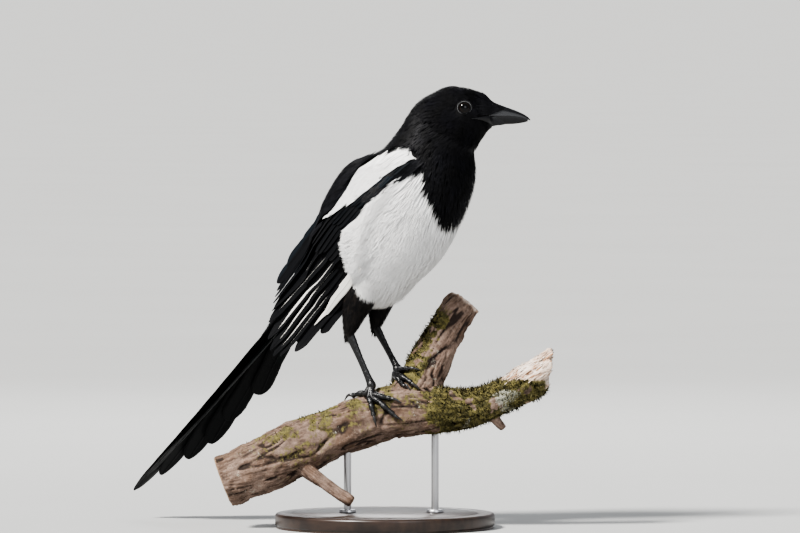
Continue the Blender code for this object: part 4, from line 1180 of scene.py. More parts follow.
# The same under the shoulder's feathers, with how high each rises.
SHOULDER_LININGS = [((6, 30), (64, 33), 5.8), ((14, 34.5), (66, 37.5), 7.2), ((22, 39), (68, 42), 6.0),
                    ((32, 43.5), (70, 46), 3.4)]
SECONDARIES = [((62, 25), (163, 30.0)), ((60, 30), (159, 33.0)), ((58, 33), (155, 36.0))]
TERTIALS = [((54, 34), (150.5, 40.5), 13), ((50, 35.5), (134, 42.5), 13), ((46, 36), (112, 42.5), 12)]
# Coverts: count, first and last root, length, slope, width, lifts, pitch, gloss.
COVERTS = [
    (8, (54, -4), (60, 25), 38, 5, 7.5, (2.4, 4.4), 4.0, 0.02),
    (6, (34, 1), (38, 17), 30, 6, 6.5, (2.4, 4.6), 3.4, 0.04),
    (5, (14, 1), (20, 12), 26, 8, 6.2, (2.6, 4.8), 3.2, 0.10),
    (4, (-2, 0), (3, 7), 22, 8, 5.8, (2.4, 4.8), 3.0, 0.30),
    (3, (-13, -2), (-10, 3), 17, 10, 5.6, (2.2, 4.4), 3.0, 0.12),
]
# A lining is so far from the next that it lies flat.
FLAT = 1000.0


def glossy_beyond(edge, gloss):
    """Gloss, a painted blue sheen with some metallic, on a vane's dorsal web beyond an edge."""
    return lambda along, across: 0.02 + gloss * (across < edge)


def build_wing(closed):
    """The right wing's vanes, its lower edge drawn up by closed."""
    vanes = VaneSet()

    def lay(course, width, lifts, pitch, **more):
        lay_wing_feather(vanes, course, width, lifts, closed, pitch, **more)

    for course in LININGS:
        lay(course, 10.0, (0.2, 0.6), FLAT, taper=0.9, count=16)
    for root, tip, rise in SHOULDER_LININGS:
        lay((root, tip), 9.0, (1.0, rise), FLAT, taper=0.5, count=16)
    for i, (course, dorsal_width, ventral_width, streak) in enumerate(PRIMARIES):
        width = dorsal_width + ventral_width
        lay(course, width, (1.8 if i < 3 else -5.0, 2.4), 3.4, streak=None if closed else streak,
            blunt=0.13, fine=0.35, count=48, gloss=0.02, hue=0.35,
            shaft_at=(dorsal_width - ventral_width) / width)
    if not closed:
        lay(WHITE_BLADE, WHITE_BLADE_WIDTH, (1.6, 3.7), 6.0, blunt=0.6, fine=0.7, count=30, taper=0.7,
            stripe=lambda offset: 3.0)
    for course in SECONDARIES:
        lay(course, 11.5, (2.0, 3.0), 3.4, blunt=0.10, count=34, gloss=glossy_beyond(-0.2, 0.10), hue=0.1,
            shaft_at=0.2)
    for root, tip, width in TERTIALS:
        lay((root, tip), width, (2.4, 4.4), 4.0, blunt=0.14, count=34, gloss=glossy_beyond(-0.3, 0.14),
            hue=0.12)
    for count, first, last, length, slope, width, lifts, pitch, gloss in COVERTS:
        for share in np.linspace(0, 1, count):
            root = np.array(first) + (np.array(last) - np.array(first)) * share
            turn = math.radians(slope + rng.uniform(-1.5, 1.5))
            reach = length * rng.uniform(0.93, 1.07)
            tip = root + reach * np.array((math.cos(turn), math.sin(turn)))
            lay((root, tip), width, lifts, pitch, blunt=0.32, fine=0.0, count=14, taper=0.7,
                gloss=gloss * rng.uniform(0.6, 1.2), hue=0.08)
    return vanes


# The grid that the shoulder's small feathers grow on, over the coverts, and how far apart they root.
SHOULDER_S = np.arange(118.0, -34.0, -2.0)
SHOULDER_H = np.arange(-60.0, 62.0, 2.0)
ROOT_GAP = 2.5


def shoulder_surface(closed):
    """Over the wing's coverts and the shoulder, for the small feathers there. Rows run forward."""
    s, h = np.meshgrid(SHOULDER_S, SHOULDER_H, indexing="ij")
    low = np.interp(s, (-26, 40, 60, 84), (-9, -12, -19, -28))
    lift = 4.9 * ease(h - low, 0, 12) * ease(s, -26, -6) * (1 - ease(h, 38, 50))
    lift = lift + 3.5 * ease(h, 28, 37) * (1 - ease(h, 45, 54)) * ease(s, 5, 22) * (1 - ease(s, 66, 90))
    lift = lift + 1.0 * ease(s, 33, 43) * (1 - ease(s, 74, 88)) * ease(h, -20, -8) * (1 - ease(h, 5, 11))
    return Surface(wing_places(*fold(s, h, closed), lift + 0.6)[0], closed=False, outward=OUTWARD)


def shoulder_roots():
    """Roots (s, h) over the shoulder, a gap apart."""
    rows, columns = [], []
    shifted = 0.0
    for at in np.arange(SHOULDER_S[-1], SHOULDER_S[0], ROOT_GAP * 0.87):
        across = np.arange(SHOULDER_H[0] + shifted, SHOULDER_H[-1], ROOT_GAP)
        rows.append(np.full(len(across), at))
        columns.append(across)
        shifted = ROOT_GAP / 2 - shifted
    s, h = np.concatenate(rows), np.concatenate(columns)
    s = s + draw.uniform(-0.3, 0.3, len(s)) * ROOT_GAP
    return s, h + draw.uniform(-0.3, 0.3, len(h)) * ROOT_GAP


def below_flank_edge(path):
    s, h = side_plane(path)
    return h < curve(FLANK_EDGE, s) + 1.8 * ripple(path, 3.0)


def under_shoulder_top(path):
    s, h = side_plane(path)
    return ~within(SCAPULARS, s, h) & (h < curve(SHOULDER_TOP, s))


def build_shoulder(side, closed):
    """The white scapulars, the black feathers round them and the flank's over the wing's edge."""
    plan = shoulder_surface(0.0)
    surface = shoulder_surface(closed)
    s, h = shoulder_roots()
    u, v = (SHOULDER_S[0] - s) / 2.0, (h - SHOULDER_H[0]) / 2.0
    places = plan.places(u, v)
    in_patch = within(SCAPULARS, s, h) & within(SCAPULARS, s, h + 1.2)
    lean = -math.radians(7) - ripple(places, 30.0) * 0.04
    edge = curve(FLANK_EDGE, s)
    sweep = -0.10 - 0.5 * ease(s, 25, 75) + 0.12 * ripple(places, 13.0)
    patch_size = fitted(plan, u, v, lean, SCAPULAR, lambda path: within(SCAPULARS, *side_plane(path)))
    upper_size = fitted(plan, u, v, lean, SHOULDER, under_shoulder_top)
    band_size = fitted(plan, u, v, lean, LESSER, under_shoulder_top)
    flank_size = fitted(plan, u, v, sweep, FLANK, below_flank_edge)
    off_body = np.array([body_tree.find_nearest(Vector(place))[3] for place in places])
    patch = in_patch & (patch_size > 0.2)
    upper = ~in_patch & ~within(SCAPULARS, s, h + 0.3) & (h > 16 + 0.16 * s) & (s > -16) & (s < 86)
    upper &= (upper_size > 0.3) & (off_body < 4.0 + 30.0 * ease(s, 0, 20))
    band = ~in_patch & (h < 12 + 0.05 * s) & (h > edge - 0.9) & (s > -21) & (s < 28) & (band_size > 0.3)
    flank = (h > edge - 22 - 10 * ease(s, 30, 60)) & (s > curve(BIB_EDGE, h) + 4) & (off_body < 12)
    flank &= (s + 0.6 * (edge - h) < 98) & (flank_size > 0.25)
    deep = np.where(flank, 1.5 + 4.5 * ease(edge - h, 4, 16), 1.6 + 2.5 * (1 - ease(s, -8, 10)) * upper)
    for name, chosen, feather, white, size, turn in (
            ("scapulars", patch, SCAPULAR, 1.0, patch_size, lean),
            ("shoulder", upper, SHOULDER, 0.0, upper_size, lean),
            ("lesser_coverts", band, LESSER, 0.0, band_size, lean),
            ("flank", flank, FLANK, 1.0, flank_size, sweep)):
        coat_piece(f"{name}_{side}", surface, u[chosen], v[chosen], feather, deep=deep[chosen],
                   turn=turn[chosen], size=size[chosen] * draw.uniform(0.9, 1.04, chosen.sum()),
                   white=white, sheen=0.6 * (1 - white), mirror=side == "left")


def build_wings():
    for side, closed in (("right", 0.0), ("left", FAR_WING_CLOSED)):
        mesh = build_wing(closed).mesh(f"feathers_{side}")
        if side == "left":
            mirrored(mesh)
        place_mesh(f"feathers_{side}", mesh, flight_feather, "black_feather", f"wing_{side}")
        build_shoulder(side, closed)


# Tail: twelve graduated feathers from the stump, in pairs from the middle outwards: length, how far
# its root and its tip stand to the side, width, and how far it leans down the tail's arch.
TAIL_PITCH = 46.5
TAIL_ARCH = 20.0
TAIL_TOP = 0.6
TAIL_STEP = 1.1
TAIL_BOW = -1.6
TAIL_PAIRS = [(252, 1.2, 3.5, 19, 0.0), (232, 2.2, 13, 21, 0.5), (209, 3.0, 24, 23, 0.8),
              (187, 3.6, 30, 23, 1.0), (160, 4.3, 27.5, 22, 1.0), (127, 5.0, 34.5, 21, 1.0)]


def build_tail():
    turn = math.radians(TAIL_PITCH)
    back = np.array((-math.cos(turn), 0, -math.sin(turn)))
    top = np.array((-math.sin(turn), 0, math.cos(turn)))
    root = np.array((BODY_RINGS[0][1], 0.0, BODY_RINGS[0][2]))
    t = stations(48)
    vanes = VaneSet()
    for i, (length, near, far, width, arch) in enumerate(TAIL_PAIRS):
        for side in (-1, 1):
            lean = math.radians(TAIL_ARCH) * arch
            lateral = np.array((0, side * math.cos(lean), 0)) - top * math.sin(lean)
            along = 9 + (length - 9) * t
            share = along / length
            level = TAIL_TOP - TAIL_STEP * i + (TAIL_STEP * 1.3 if i == 0 and side > 0 else 0.0)
            level = level * (0.35 + 0.65 * np.minimum(1.0, along / 38)) + TAIL_BOW * np.sin(np.pi * share)
            spread = near + (far - near) * share**2
            centre = root + back * along[:, None] + lateral * spread[:, None] + top * level[:, None]
            ahead = unit(np.gradient(centre, axis=0))
            across = unit(lateral - ahead * dot(ahead, lateral))
            up = np.cross(across, ahead)
            half = width / 2 * vane_shape(t, 0.10, 0.18, 0.15) * (0.86 + 0.14 * ease(t, 0.0, 0.7))
            # Painted sheen: gloss on one half of each web, short of its root and tip.
            vanes.lay(centre, -across, up * np.sign(dot(up, top)), half, hue=1.0, camber=0.05, ragged=0.06,
                      gloss=lambda along, across: 0.03 + 0.14 * (across > 0) * (along > 0.1) * (along < 0.7),
                      shaft_at=0.25 * (i > 0))
    place_mesh("tail_feathers", vanes.mesh("tail_feathers"), flight_feather, "black_feather", "tail")


# Bill, eyes, lids and the bristles over the nostrils.


# Where the bill's two halves meet: (distance along the head's heading, height).
CUTTING_EDGE = [(76.4, 329.5), (94.0, 330.4), (103.2, 330.0), (110.0, 328.8), (115.4, 326.8)]
LOWER_BILL_CLOSED = 0.35
BILL_SIDES = [(84, 6.8), (92, 5.9), (101.6, 4.5), (110.8, 3.2)]
# The bill's bare corner on the face: at each forward its upper and lower edge.
BILL_CORNER = [(76.5, 328.4, 328.1), (80, 329.2, 328.0), (84, 329.8, 327.2), (88, 330.2, 325.8),
               (91.5, 330.3, 324.2), (95, 330.3, 323.0), (99, 330.2, 322.9), (103, 330.0, 323.5)]
# The lids' rings: radius, thickness, how deep they lie, and how pale, a painted highlight.
LID_RINGS = [(4.55, 0.42, 0.0, 0.0), (5.35, 0.14, 0.20, 1.0), (6.2, 0.4, 0.9, 0.0)]
BRISTLES = 380


def bill_rings(table, keel, sides=28):
    """One mandible's rings. Its cutting edges are level and its keel is rounded: up or down."""
    a = round_angles(sides)
    side, up = np.sin(a), np.cos(a) * keel
    rings = []
    for forward, high, low, half_width in smooth_table(table, 6):
        flat, round_end = (low, high) if keel > 0 else (high, low)
        height = flat + (round_end - flat) * np.maximum(0.0, up * keel) ** 0.85
        inset = np.where(up * keel < -0.3, 0.72, 1.0)
        rings.append(head_points(forward, height, side * half_width * inset))
    return rings


def build_bill():
    upper = (UPPER_BILL, 1, 0.0)
    lower = (LOWER_BILL, -1, LOWER_BILL_CLOSED)
    turn = math.radians(HEAD_TURN)
    for name, (table, keel, closed) in (("bill_upper", upper), ("bill_lower", lower)):
        table = [(forward, high + closed, low, half_width) for forward, high, low, half_width in table]
        mesh = finished_mesh(name, bridged(bmesh.new(), bill_rings(table, keel)), sharp=50)
        places = point_places(mesh)
        line = curve(CUTTING_EDGE, places[:, 0] * math.cos(turn) + places[:, 1] * math.sin(turn))
        # Edge is 1 at the cutting edge, where the horn gets its painted highlight.
        mark(mesh, edge=1 - ease(np.abs(places[:, 2] - line), 0.2, 1.4))
        place_mesh(name, mesh, bill_horn, "bill", name)


def eye_seat(side):
    """The eye's place on the head, and the way that it looks."""
    start, end = (Vector(head_points(EYE_FORWARD, EYE_HEIGHT, reach * side)) for reach in (60.0, -60.0))
    place, normal = body_tree.ray_cast(start, (end - start).normalized())[:2]
    out = (start - place).normalized()
    normal = normal if normal.dot(out) > 0 else -normal
    return place, (normal + out).normalized()


def build_eyes():
    for name, side in (("right", -1), ("left", 1)):
        place, look = eye_seat(side)
        turn = look.to_track_quat("Z", "Y").to_matrix()
        ball = bmesh.new()
        bmesh.ops.create_uvsphere(ball, u_segments=48, v_segments=40, radius=EYE_RADIUS * MM)
        ring = [math.acos(max(-1.0, min(1.0, v.co.z / v.co.length))) / (math.pi / 2) for v in ball.verts]
        middle = Matrix.Translation((place - look * (EYE_RADIUS - EYE_PROUD)) * MM)
        bmesh.ops.transform(ball, verts=ball.verts, matrix=middle @ turn.to_4x4())
        mesh = finished_mesh(f"eye_{name}", ball)
        mark(mesh, ring=ring)
        place_mesh(f"eye_{name}", mesh, eye_glass, "eye", f"eye_{name}")
        build_lids(f"lids_{name}", place, look, turn)


def build_lids(name, place, look, turn):
    """Wrinkled rings of bare skin round the eye, the middle one with a painted highlight as a pale rim."""
    shell = bmesh.new()
    rims = []
    for radius, thick, sunk, rim in LID_RINGS:
        path = []
        for a in np.linspace(0, 2 * math.pi, 72, endpoint=False):
            wrinkle = 1 + 0.012 * math.sin(17 * a) + 0.008 * math.sin(29 * a + 1)
            flat = Vector((math.cos(a) * radius * 1.06, math.sin(a) * radius * 0.94, 0)) * wrinkle
            path.append(np.array(place + turn @ flat - look * (sunk + 0.012 * flat.length**2 - 0.25)))
        path = np.array(path)
        ahead = unit(np.roll(path, -1, 0) - np.roll(path, 1, 0))
        side = unit(np.cross(ahead, np.array(look)))
        top = np.cross(side, ahead)
        b = round_angles(10)[None, :, None]
        rings = path[:, None] + (side[:, None] * np.cos(b) + top[:, None] * np.sin(b)) * thick
        before = len(shell.verts)
        bridged(shell, np.concatenate([rings, rings[:1]]), capped=False)
        rims += [rim] * (len(shell.verts) - before)
    layer = shell.verts.layers.float.new("rim")
    for vert, rim in zip(shell.verts, rims):
        vert[layer] = rim
    bmesh.ops.remove_doubles(shell, verts=shell.verts, dist=1e-7)
    place_mesh(name, finished_mesh(name, shell), lid_skin, "black_feather")


def face_side(forward, height):
    """How far to the side the face lies in the head's turned plane. It's 0 above and below it."""
    outward = head_points(0.0, 0.0, 1.0) - head_points(0.0, 0.0, 0.0)
    start = Vector(head_points(forward, height, 40.0))
    hit = body_tree.ray_cast(start, -Vector(outward))[0]
    return 40.0 - (start - hit).length if hit else 0.0


def bill_side(forward, height):
    """How far to the side the face, or the bill in front of it, lies."""
    face = face_side(forward, height)
    bill = curve(BILL_SIDES, forward)
    return face + (bill - face) * ease(forward, 90.0, 97.0) if face > bill else bill


def build_bill_corners():
    """The bare horn at the bill's corners, which runs back over the face to a point."""
    shell = bmesh.new()
    for side in (-1, 1):
        rings = []
        for forward, high, low in smooth_table(BILL_CORNER, 4):
            ring = []
            sink = ease(forward, 88, 103)
            for a in np.linspace(0, 2 * math.pi, 20, endpoint=False):
                height = (high + low) / 2 + (high - low) / 2 * math.cos(a)
                out = bill_side(forward, height) + 0.15 - 1.5 * sink + (0.75 - 0.3 * sink) * math.sin(a)
                ring.append(head_points(forward, height, side * out))
            rings.append(ring)
        bridged(shell, rings)
    mesh = finished_mesh("bill_corners", shell)
    mark(mesh, edge=0)
    place_mesh("bill_corners", mesh, bill_horn, "bill")


def build_bristles():
    """Stiff feathers that point forward over the nostrils, from the brow onto the bill."""
    tree = tree_of(np.array(bill_rings(UPPER_BILL, 1)))
    paths, normals, tones = [], [], []
    share_along = np.linspace(0, 1, 6)
    for side in [-1] * BRISTLES + [1] * BRISTLES:
        share = rng.random() ** 0.8
        height = 346.8 - 16.0 * share
        start = 86.0 - 7.0 * rng.random()
        across = side * max(0.3, (face_side(start, height) - 0.2) * rng.uniform(0.86, 1.0))
        length = (20.5 - 5.0 * share**2) * rng.uniform(0.42, 1.0)
        fall = 6.4 - 9.0 * share
        rise = 2.7 * ease(share, 0.28, 0.10)
        path, ups = [], []
        spread = rng.uniform(-0.7, 0.7)
        for t in share_along:
            forward = start + length * t
            at_height = height - (fall + spread) * (length / 18) * t**1.2 + rise * (1 - t) ** 2
            guess = Vector(head_points(forward, at_height, across * (1 - 0.4 * t * length / 18)))
            near = tree.find_nearest(guess)[0]
            normal = (guess - Vector(head_points(forward, 333.0, 0.0))).normalized()
            lift = 0.3 + rng.uniform(0.0, 0.35) + 0.6 * math.sin(math.pi * t) * rng.uniform(0.2, 1.0)
            path.append(guess.lerp(near + normal * lift, float(ease(forward, 87.0, 96.0))))
            ups.append(normal)
        paths.append(path)
        normals.append(ups)
        tones.append(rng.uniform(0.15, 0.95))
    count = len(paths)
    zero = np.zeros(count)
    widths = np.tile(0.55 * (1 - share_along**2 * 0.7), (count, 1))
    values = {"white": zero, "shade": zero, "sheen": zero + 0.5, "tone": np.array(tones)}
    mesh = blade_mesh("bristles", np.array(paths), np.array(normals), widths, 0.5, values, spread_out(count))
    place_mesh("bristles", mesh, plumage, "black_feather")


# Legs, feet and claws, walked over the perch as the solids are.


FEET = {"right": (-6.5, -14.0), "left": (3.5, 14.5)}
# How far the toes' root stands from the place that the solids give it.
HUB_RAISED = {"right": (1.6, 0.9, 4.6), "left": (0.0, 0.0, 0.8)}
TARSUS_RADII = [4.1, 3.5, 2.95, 2.6, 2.5, 2.7, 3.4]
LEG_FRONT = Vector((1, -0.1, 0.3)).normalized()
TOE_RADIUS = 2.35
TOE_END_RADIUS = 1.7
TOE_CLEARANCE = 0.42
CLAW_LENGTH = 9.5
CLAW_GAP = 0.4
# Each toe's name, length and heading in degrees.
TOES = {
    "right": [("inner", 19, 2), ("middle", 27, -30), ("outer", 20, -62), ("hind", 15, 172)],
    "left": [("inner", 18, -6), ("middle", 26, -34), ("outer", 21, -58), ("hind", 14, 172)],
}


def node_tree(name):
    """A search tree of a solid, in millimetres."""
    mesh = nodes[name].data
    faces = [tuple(p.vertices) for p in mesh.polygons]
    return BVHTree.FromPolygons([v.co / MM for v in mesh.vertices], faces)


def walk(tree, start, heading, length, steps, height):
    """Points that follow a surface from start along a heading, each at its own height above it."""
    place, normal = tree.find_nearest(start)[:2]
    points = [place + normal * height(0.0)]
    for i in range(steps):
        heading = (heading - normal * heading.dot(normal)).normalized()
        near, normal = tree.find_nearest(place + heading * length / steps)[:2]
        heading = (near - place).normalized()
        place = near
        points.append(place + normal * height((i + 1) / steps))
    return points, normal, heading


def scaled(path, radii, plates, depth, front, first, last, sides, flatten=1.0):
    """A tube with overlapping plates across its front: each rises towards its lower edge."""
    fine = smooth_table([tuple(p) for p in path], max(2, math.ceil((plates * 5 + 1) / (len(path) - 1))))
    share = np.linspace(0, 1, len(fine))
    rings = tube_rings(fine, np.interp(share, np.linspace(0, 1, len(radii)), radii), sides, flatten)
    out = unit(rings - fine[:, None])
    facing = np.clip(dot(out, np.asarray(front, float)), 0, 1) ** 0.7
    phase = (share - first) / (last - first) * plates
    rise = np.where((phase > 0) & (phase < plates), (phase % 1.0) ** 1.5, 0.0)[:, None, None] * depth
    return rings + out * rise * facing


def add_ball(shell, place, look, radii, segments, rings):
    """Adds a ball of three radii, its pole turned to look."""
    turn = look.to_track_quat("Z", "Y").to_matrix().to_4x4()
    stretch = Matrix.Diagonal((*(radius * MM for radius in radii), 1.0))
    bmesh.ops.create_uvsphere(shell, u_segments=segments, v_segments=rings, radius=1.0,
                              matrix=Matrix.Translation(place * MM) @ turn @ stretch)


def build_leg(side, tree):
    ankle = Vector(THIGHS[side][1])
    ground = tree.ray_cast(Vector((*FEET[side], 400)), Vector((0, 0, -1)))[0]
    hub = ground + Vector((0, 0, TOE_RADIUS + 0.3 + 1.6)) + Vector(HUB_RAISED[side])
    down = (hub - ankle).normalized()

    shell = bmesh.new()
    path = [ankle + (hub - ankle) * t - down * 1.5 * (1 - t) for t in np.linspace(0, 1, 7)]
    bridged(shell, scaled(path, TARSUS_RADII, 9, 0.34, LEG_FRONT, 0.12, 0.96, 24, 0.84))
    add_ball(shell, ankle + (hub - ankle) * 0.035, down, (3.5, 3.3, 4.4), 20, 14)
    name = f"tarsus_{side}"
    place_mesh(name, finished_mesh(name, shell), leg_scales, "leg_scales", name)

    foot = bmesh.new()
    add_ball(foot, hub - down * 0.4, down, (4.1, 3.7, 4.6), 24, 16)
    for toe, length, spread in TOES[side]:
        angle = math.radians(spread)
        heading = Vector((math.cos(angle), math.sin(angle), -0.1))
        thinner = TOE_END_RADIUS - TOE_RADIUS
        points, normal, ahead = walk(tree, ground, heading, length, 6,
                                     lambda t: TOE_CLEARANCE + TOE_RADIUS + thinner * t)
        joints = 3 if length > 18 else 2
        radii = [3.1]
        for t in np.linspace(0, 1, 25)[1:]:
            knuckle = 0.30 * math.cos(2 * math.pi * t * joints)
            radii.append((TOE_RADIUS + thinner * t + knuckle) * (1.14 - 0.06 * t))
        path = [hub + Vector((0, 0, -0.3))] + points[1:]
        bridged(foot, scaled(path, radii, int(length / 1.9), 0.30, (0, 0, 1), 0.08, 1.0, 20))
        build_claw(f"claw_{side}_{toe}", tree, points[-1], normal, ahead)
    name = f"foot_{side}"
    place_mesh(name, finished_mesh(name, foot), leg_scales, "leg_scales", name)


def build_claw(name, tree, last, normal, heading):
    start = last - normal * (TOE_CLEARANCE + TOE_END_RADIUS) + heading * CLAW_GAP

    def height(t):
        return TOE_CLEARANCE + TOE_END_RADIUS * (1 - t) + 0.3 + 1.4 * math.sin(math.pi * t**0.8)

    points = walk(tree, start, heading, CLAW_LENGTH, 5, height)[0]
    path = smooth_table([tuple(p) for p in [points[0] - heading * 1.4] + points], 5)
    radii = 1.45 * (1 - np.linspace(0, 1, len(path))) ** 0.62 + 0.10
    shell = bridged(bmesh.new(), tube_rings(path, radii, 16, 0.8))
    place_mesh(name, finished_mesh(name, shell), claw_horn, "claw", name)


def build_legs():
    tree = node_tree("perch_branch")
    for side in FEET:
        build_leg(side, tree)


# Perch: the branch's own solid, remeshed finely, with bark that runs along each limb.


# The limbs' middle lines: (along, away, height, radius) in the branch's own frame.
BRANCH = [
    (-130, -3, 37, 20.5), (-116, -3, 42.5, 21.5), (-92, -2, 52.4, 22.5), (-68, -1, 64.5, 22),
    (-44, 0, 75, 20), (-20, 1, 84.5, 20.5), (4, 1, 92, 21), (28, 0, 95, 20.5), (48, -2, 94.5, 17.6),
    (68, -4, 95.5, 15.6), (92, -6, 105, 13.6), (112, -8, 116, 14.6), (126, -9, 124, 14.2),
    (140, -10, 133.5, 14),
]
FORK = [(14, 4, 86, 16), (22, 7, 102, 20.5), (31, 10, 122, 17.5), (43, 15, 147, 14.5),
        (55, 19, 168, 14.6), (64.5, 22, 180, 13.8)]
TWIG = [(-74, -8, 58, 8), (-62, -14, 47, 6.6), (-50, -19, 38, 5.4), (-38, -22, 29.5, 5.2),
        (-26, -24, 22, 5.0)]
SNAG = [(84, -4, 92, 4.6), (90, -5, 85, 4.0), (95, -6, 79.5, 3.4)]
ARM, FORKED, TWIGGED = 0, 1, 2
# Each limb's distances along start this far after the last one's.
LIMB_STEP = 400.0
PERCH_TURN = 30.0
# Where the branch's arm broke off, and the way that the break faces.
BREAK_AT = (132.5, 0, 128)
BREAK_FACES = (1.0, 0, -0.13)
BARK_GRAIN = 1.25
BARK_ROUNDS = 9
MOSS_BLADES = 8500
SPLINTERS = 320


def perch_places(rows):
    """Points (along, away, height) of the branch's own frame, in the model's."""
    along, away, height = np.array(rows, float).T[:3]
    turn = math.radians(PERCH_TURN)
    return np.stack([along * math.cos(turn) - away * math.sin(turn),
                     along * math.sin(turn) + away * math.cos(turn), height], -1)


class Limbs:
    """The limbs' middle lines, to tell how far along and round a limb a place on the bark is."""

    def __init__(self):
        parts = []
        for i, table in enumerate((BRANCH, FORK, TWIG, SNAG)):
            fine = smooth_table(table, 12)
            line = perch_places(fine)
            steps = np.linalg.norm(np.diff(line, axis=0, prepend=line[:1]), axis=1)
            parts.append((line, np.cumsum(steps) + LIMB_STEP * i, unit(np.gradient(line, axis=0)),
                          fine[:, 3], np.full(len(line), i)))
        self.line, self.along, self.ahead, self.radius, self.which = map(np.concatenate, zip(*parts))

    def read(self, places):
        """For each place its limb, distance along, and its offset from the middle line."""
        gap = np.linalg.norm(places[:, None] - self.line[None], axis=-1) / self.radius[None] ** 0.9
        near = np.argmin(gap, axis=1)
        offset = places - self.line[near]
        shift = np.sum(offset * self.ahead[near], axis=1)
        return near, self.along[near] + shift, offset - self.ahead[near] * shift[:, None]


def cloud(places, size, seed, octaves=3):
    """Fractal noise of about -1 to 1 at places, its largest lumps a size across."""
    shift = Vector((seed * 7.1, seed * 3.7, seed * 1.3))
    return np.array([noise.fractal(Vector(p) / size + shift, 0.6, 2.0, octaves) for p in places])


def grain_cloud(grain, along, across, seed, octaves):
    """The same, drawn out along the grain."""
    return cloud(grain / (along, across, across), 1.0, seed, octaves)


def build_perch():
    source = bmesh.new()
    source.from_mesh(nodes["perch_branch"].data)
    bmesh.ops.remove_doubles(source, verts=source.verts, dist=1e-6)
    mesh = remeshed("branch", source, BARK_GRAIN, BARK_ROUNDS)
    places = point_places(mesh)
    flat = np.zeros(len(places) * 3)
    mesh.vertices.foreach_get("normal", flat)
    normals = flat.reshape(-1, 3)

    limbs = Limbs()
    near, along, offset = limbs.read(places)
    on_limb = {i: limbs.which[near] == i for i in (ARM, FORKED, TWIGGED)}
    around = unit(offset) * limbs.radius[near][:, None]
    twist = along * 0.012
    grain = np.stack([along, around[:, 2] * np.cos(twist) + around[:, 0] * np.sin(twist),
                      around[:, 1] - around[:, 0] * 0.5], 1)
    lumps = cloud(places, 13.0, 4.0, 3)

    beyond = (places - perch_places(BREAK_AT)) @ unit(perch_places(BREAK_FACES))
    broken = ease(beyond + lumps * 3.0 + ease(-offset[:, 2], -6, 14) * -6.0, -7.0, -3.5)
    stripped = ease(places[:, 2] - 119.5 + lumps * 1.6, -0.8, 1.2) * (along > 215)
    torn = np.maximum(broken, stripped) * on_limb[ARM]
    fork_ahead = limbs.ahead[limbs.which == FORKED][-1]
    beyond = (places - perch_places(FORK[-1])) @ fork_ahead
    fork_end = ease(beyond + lumps * 2.0, -2.6, -1.0) * on_limb[FORKED]

    ridges = grain_cloud(grain, 34.0, 5.2, 1.0, 4)
    cracks = ease(np.abs(grain_cloud(grain, 60.0, 8.0, 2.0, 2)), 0.0, 0.16)
    flakes = ease(grain_cloud(grain, 22.0, 11.0, 3.0, 2), 0.08, 0.16)
    fibres = grain_cloud(grain, 50.0, 1.9, 6.0, 3)
    small = np.minimum(limbs.radius[near] / 16.0, 1.0)
    height = (ridges * 0.9 + flakes * 0.8 - (1 - cracks) * 1.7 + lumps * 0.5) * small
    height = height * (1 - torn) + (fibres * 1.7 - 0.6) * torn
    feet = [node_tree(name) for name in ("foot_right", "foot_left")]
    near_feet = np.array([min(t.find_nearest(Vector(p))[3] or 99.0 for t in feet) for p in places])
    height = np.where(near_feet < 7.0, np.minimum(height, -0.35 + 0.1 * near_feet), height)
    cut = np.zeros(len(places))
    for limb, end, away in ((ARM, BRANCH[0], -limbs.ahead[limbs.which == ARM][0]),
                            (TWIGGED, TWIG[-1], limbs.ahead[limbs.which == TWIGGED][-1])):
        beyond = (places - perch_places(end)) @ away
        sawn = ease(normals @ away, 0.6, 0.85) * ease(beyond, -4.0, -2.0) * on_limb[limb]
        cut = np.maximum(cut, sawn)
    height = np.clip(height * (1 - 0.9 * cut), -2.6, 1.35)
    moved = places + normals * height[:, None]
    move_points(mesh, moved)

    on_arm = ease(along, 168, 192) * (1 - ease(along, 268, 282)) * on_limb[ARM]
    on_fork = ease(-normals @ np.array((0.87, 0.5, 0.0)), -0.35, 0.3) * (1 - ease(along, 478, 500))
    on_fork = on_fork * on_limb[FORKED]
    on_base = ease(along, 20, 60) * (1 - ease(along, 150, 200)) * on_limb[ARM]
    upward = ease(normals[:, 2], -0.4, 0.8)
    moss = np.clip(on_arm + on_fork * 0.85 + on_base * 0.27 + 0.2 * upward - 0.12, 0, 1)
    moss = moss * ease(cloud(places, 14.0, 8.0, 4) + 0.4 * on_arm, -0.3, 0.2)
    moss = moss * (1 - torn) * (1 - fork_end) * (1 - cut)
    lichen = ease(cloud(places, 21.0, 9.0, 2), 0.12, 0.42) * (0.55 + 0.45 * on_arm) * (1 - torn)
    mark(mesh, relief=np.clip(0.5 + height * 0.32, 0, 1), moss=moss, lichen=lichen,
         torn=np.maximum(torn, fork_end * 0.8), cut=cut, core=np.linalg.norm(offset, axis=1))
    layer = mesh.attributes.new("grain", "FLOAT_VECTOR", "POINT")
    layer.data.foreach_set("vector", (grain * MM).astype(np.float32).ravel())
    place_mesh("branch", mesh, branch_bark, "bark", "perch_branch")
    build_moss(moved, normals, moss * (near_feet > 4.0))
    build_splinters(moved, normals, torn, limbs.ahead[near])


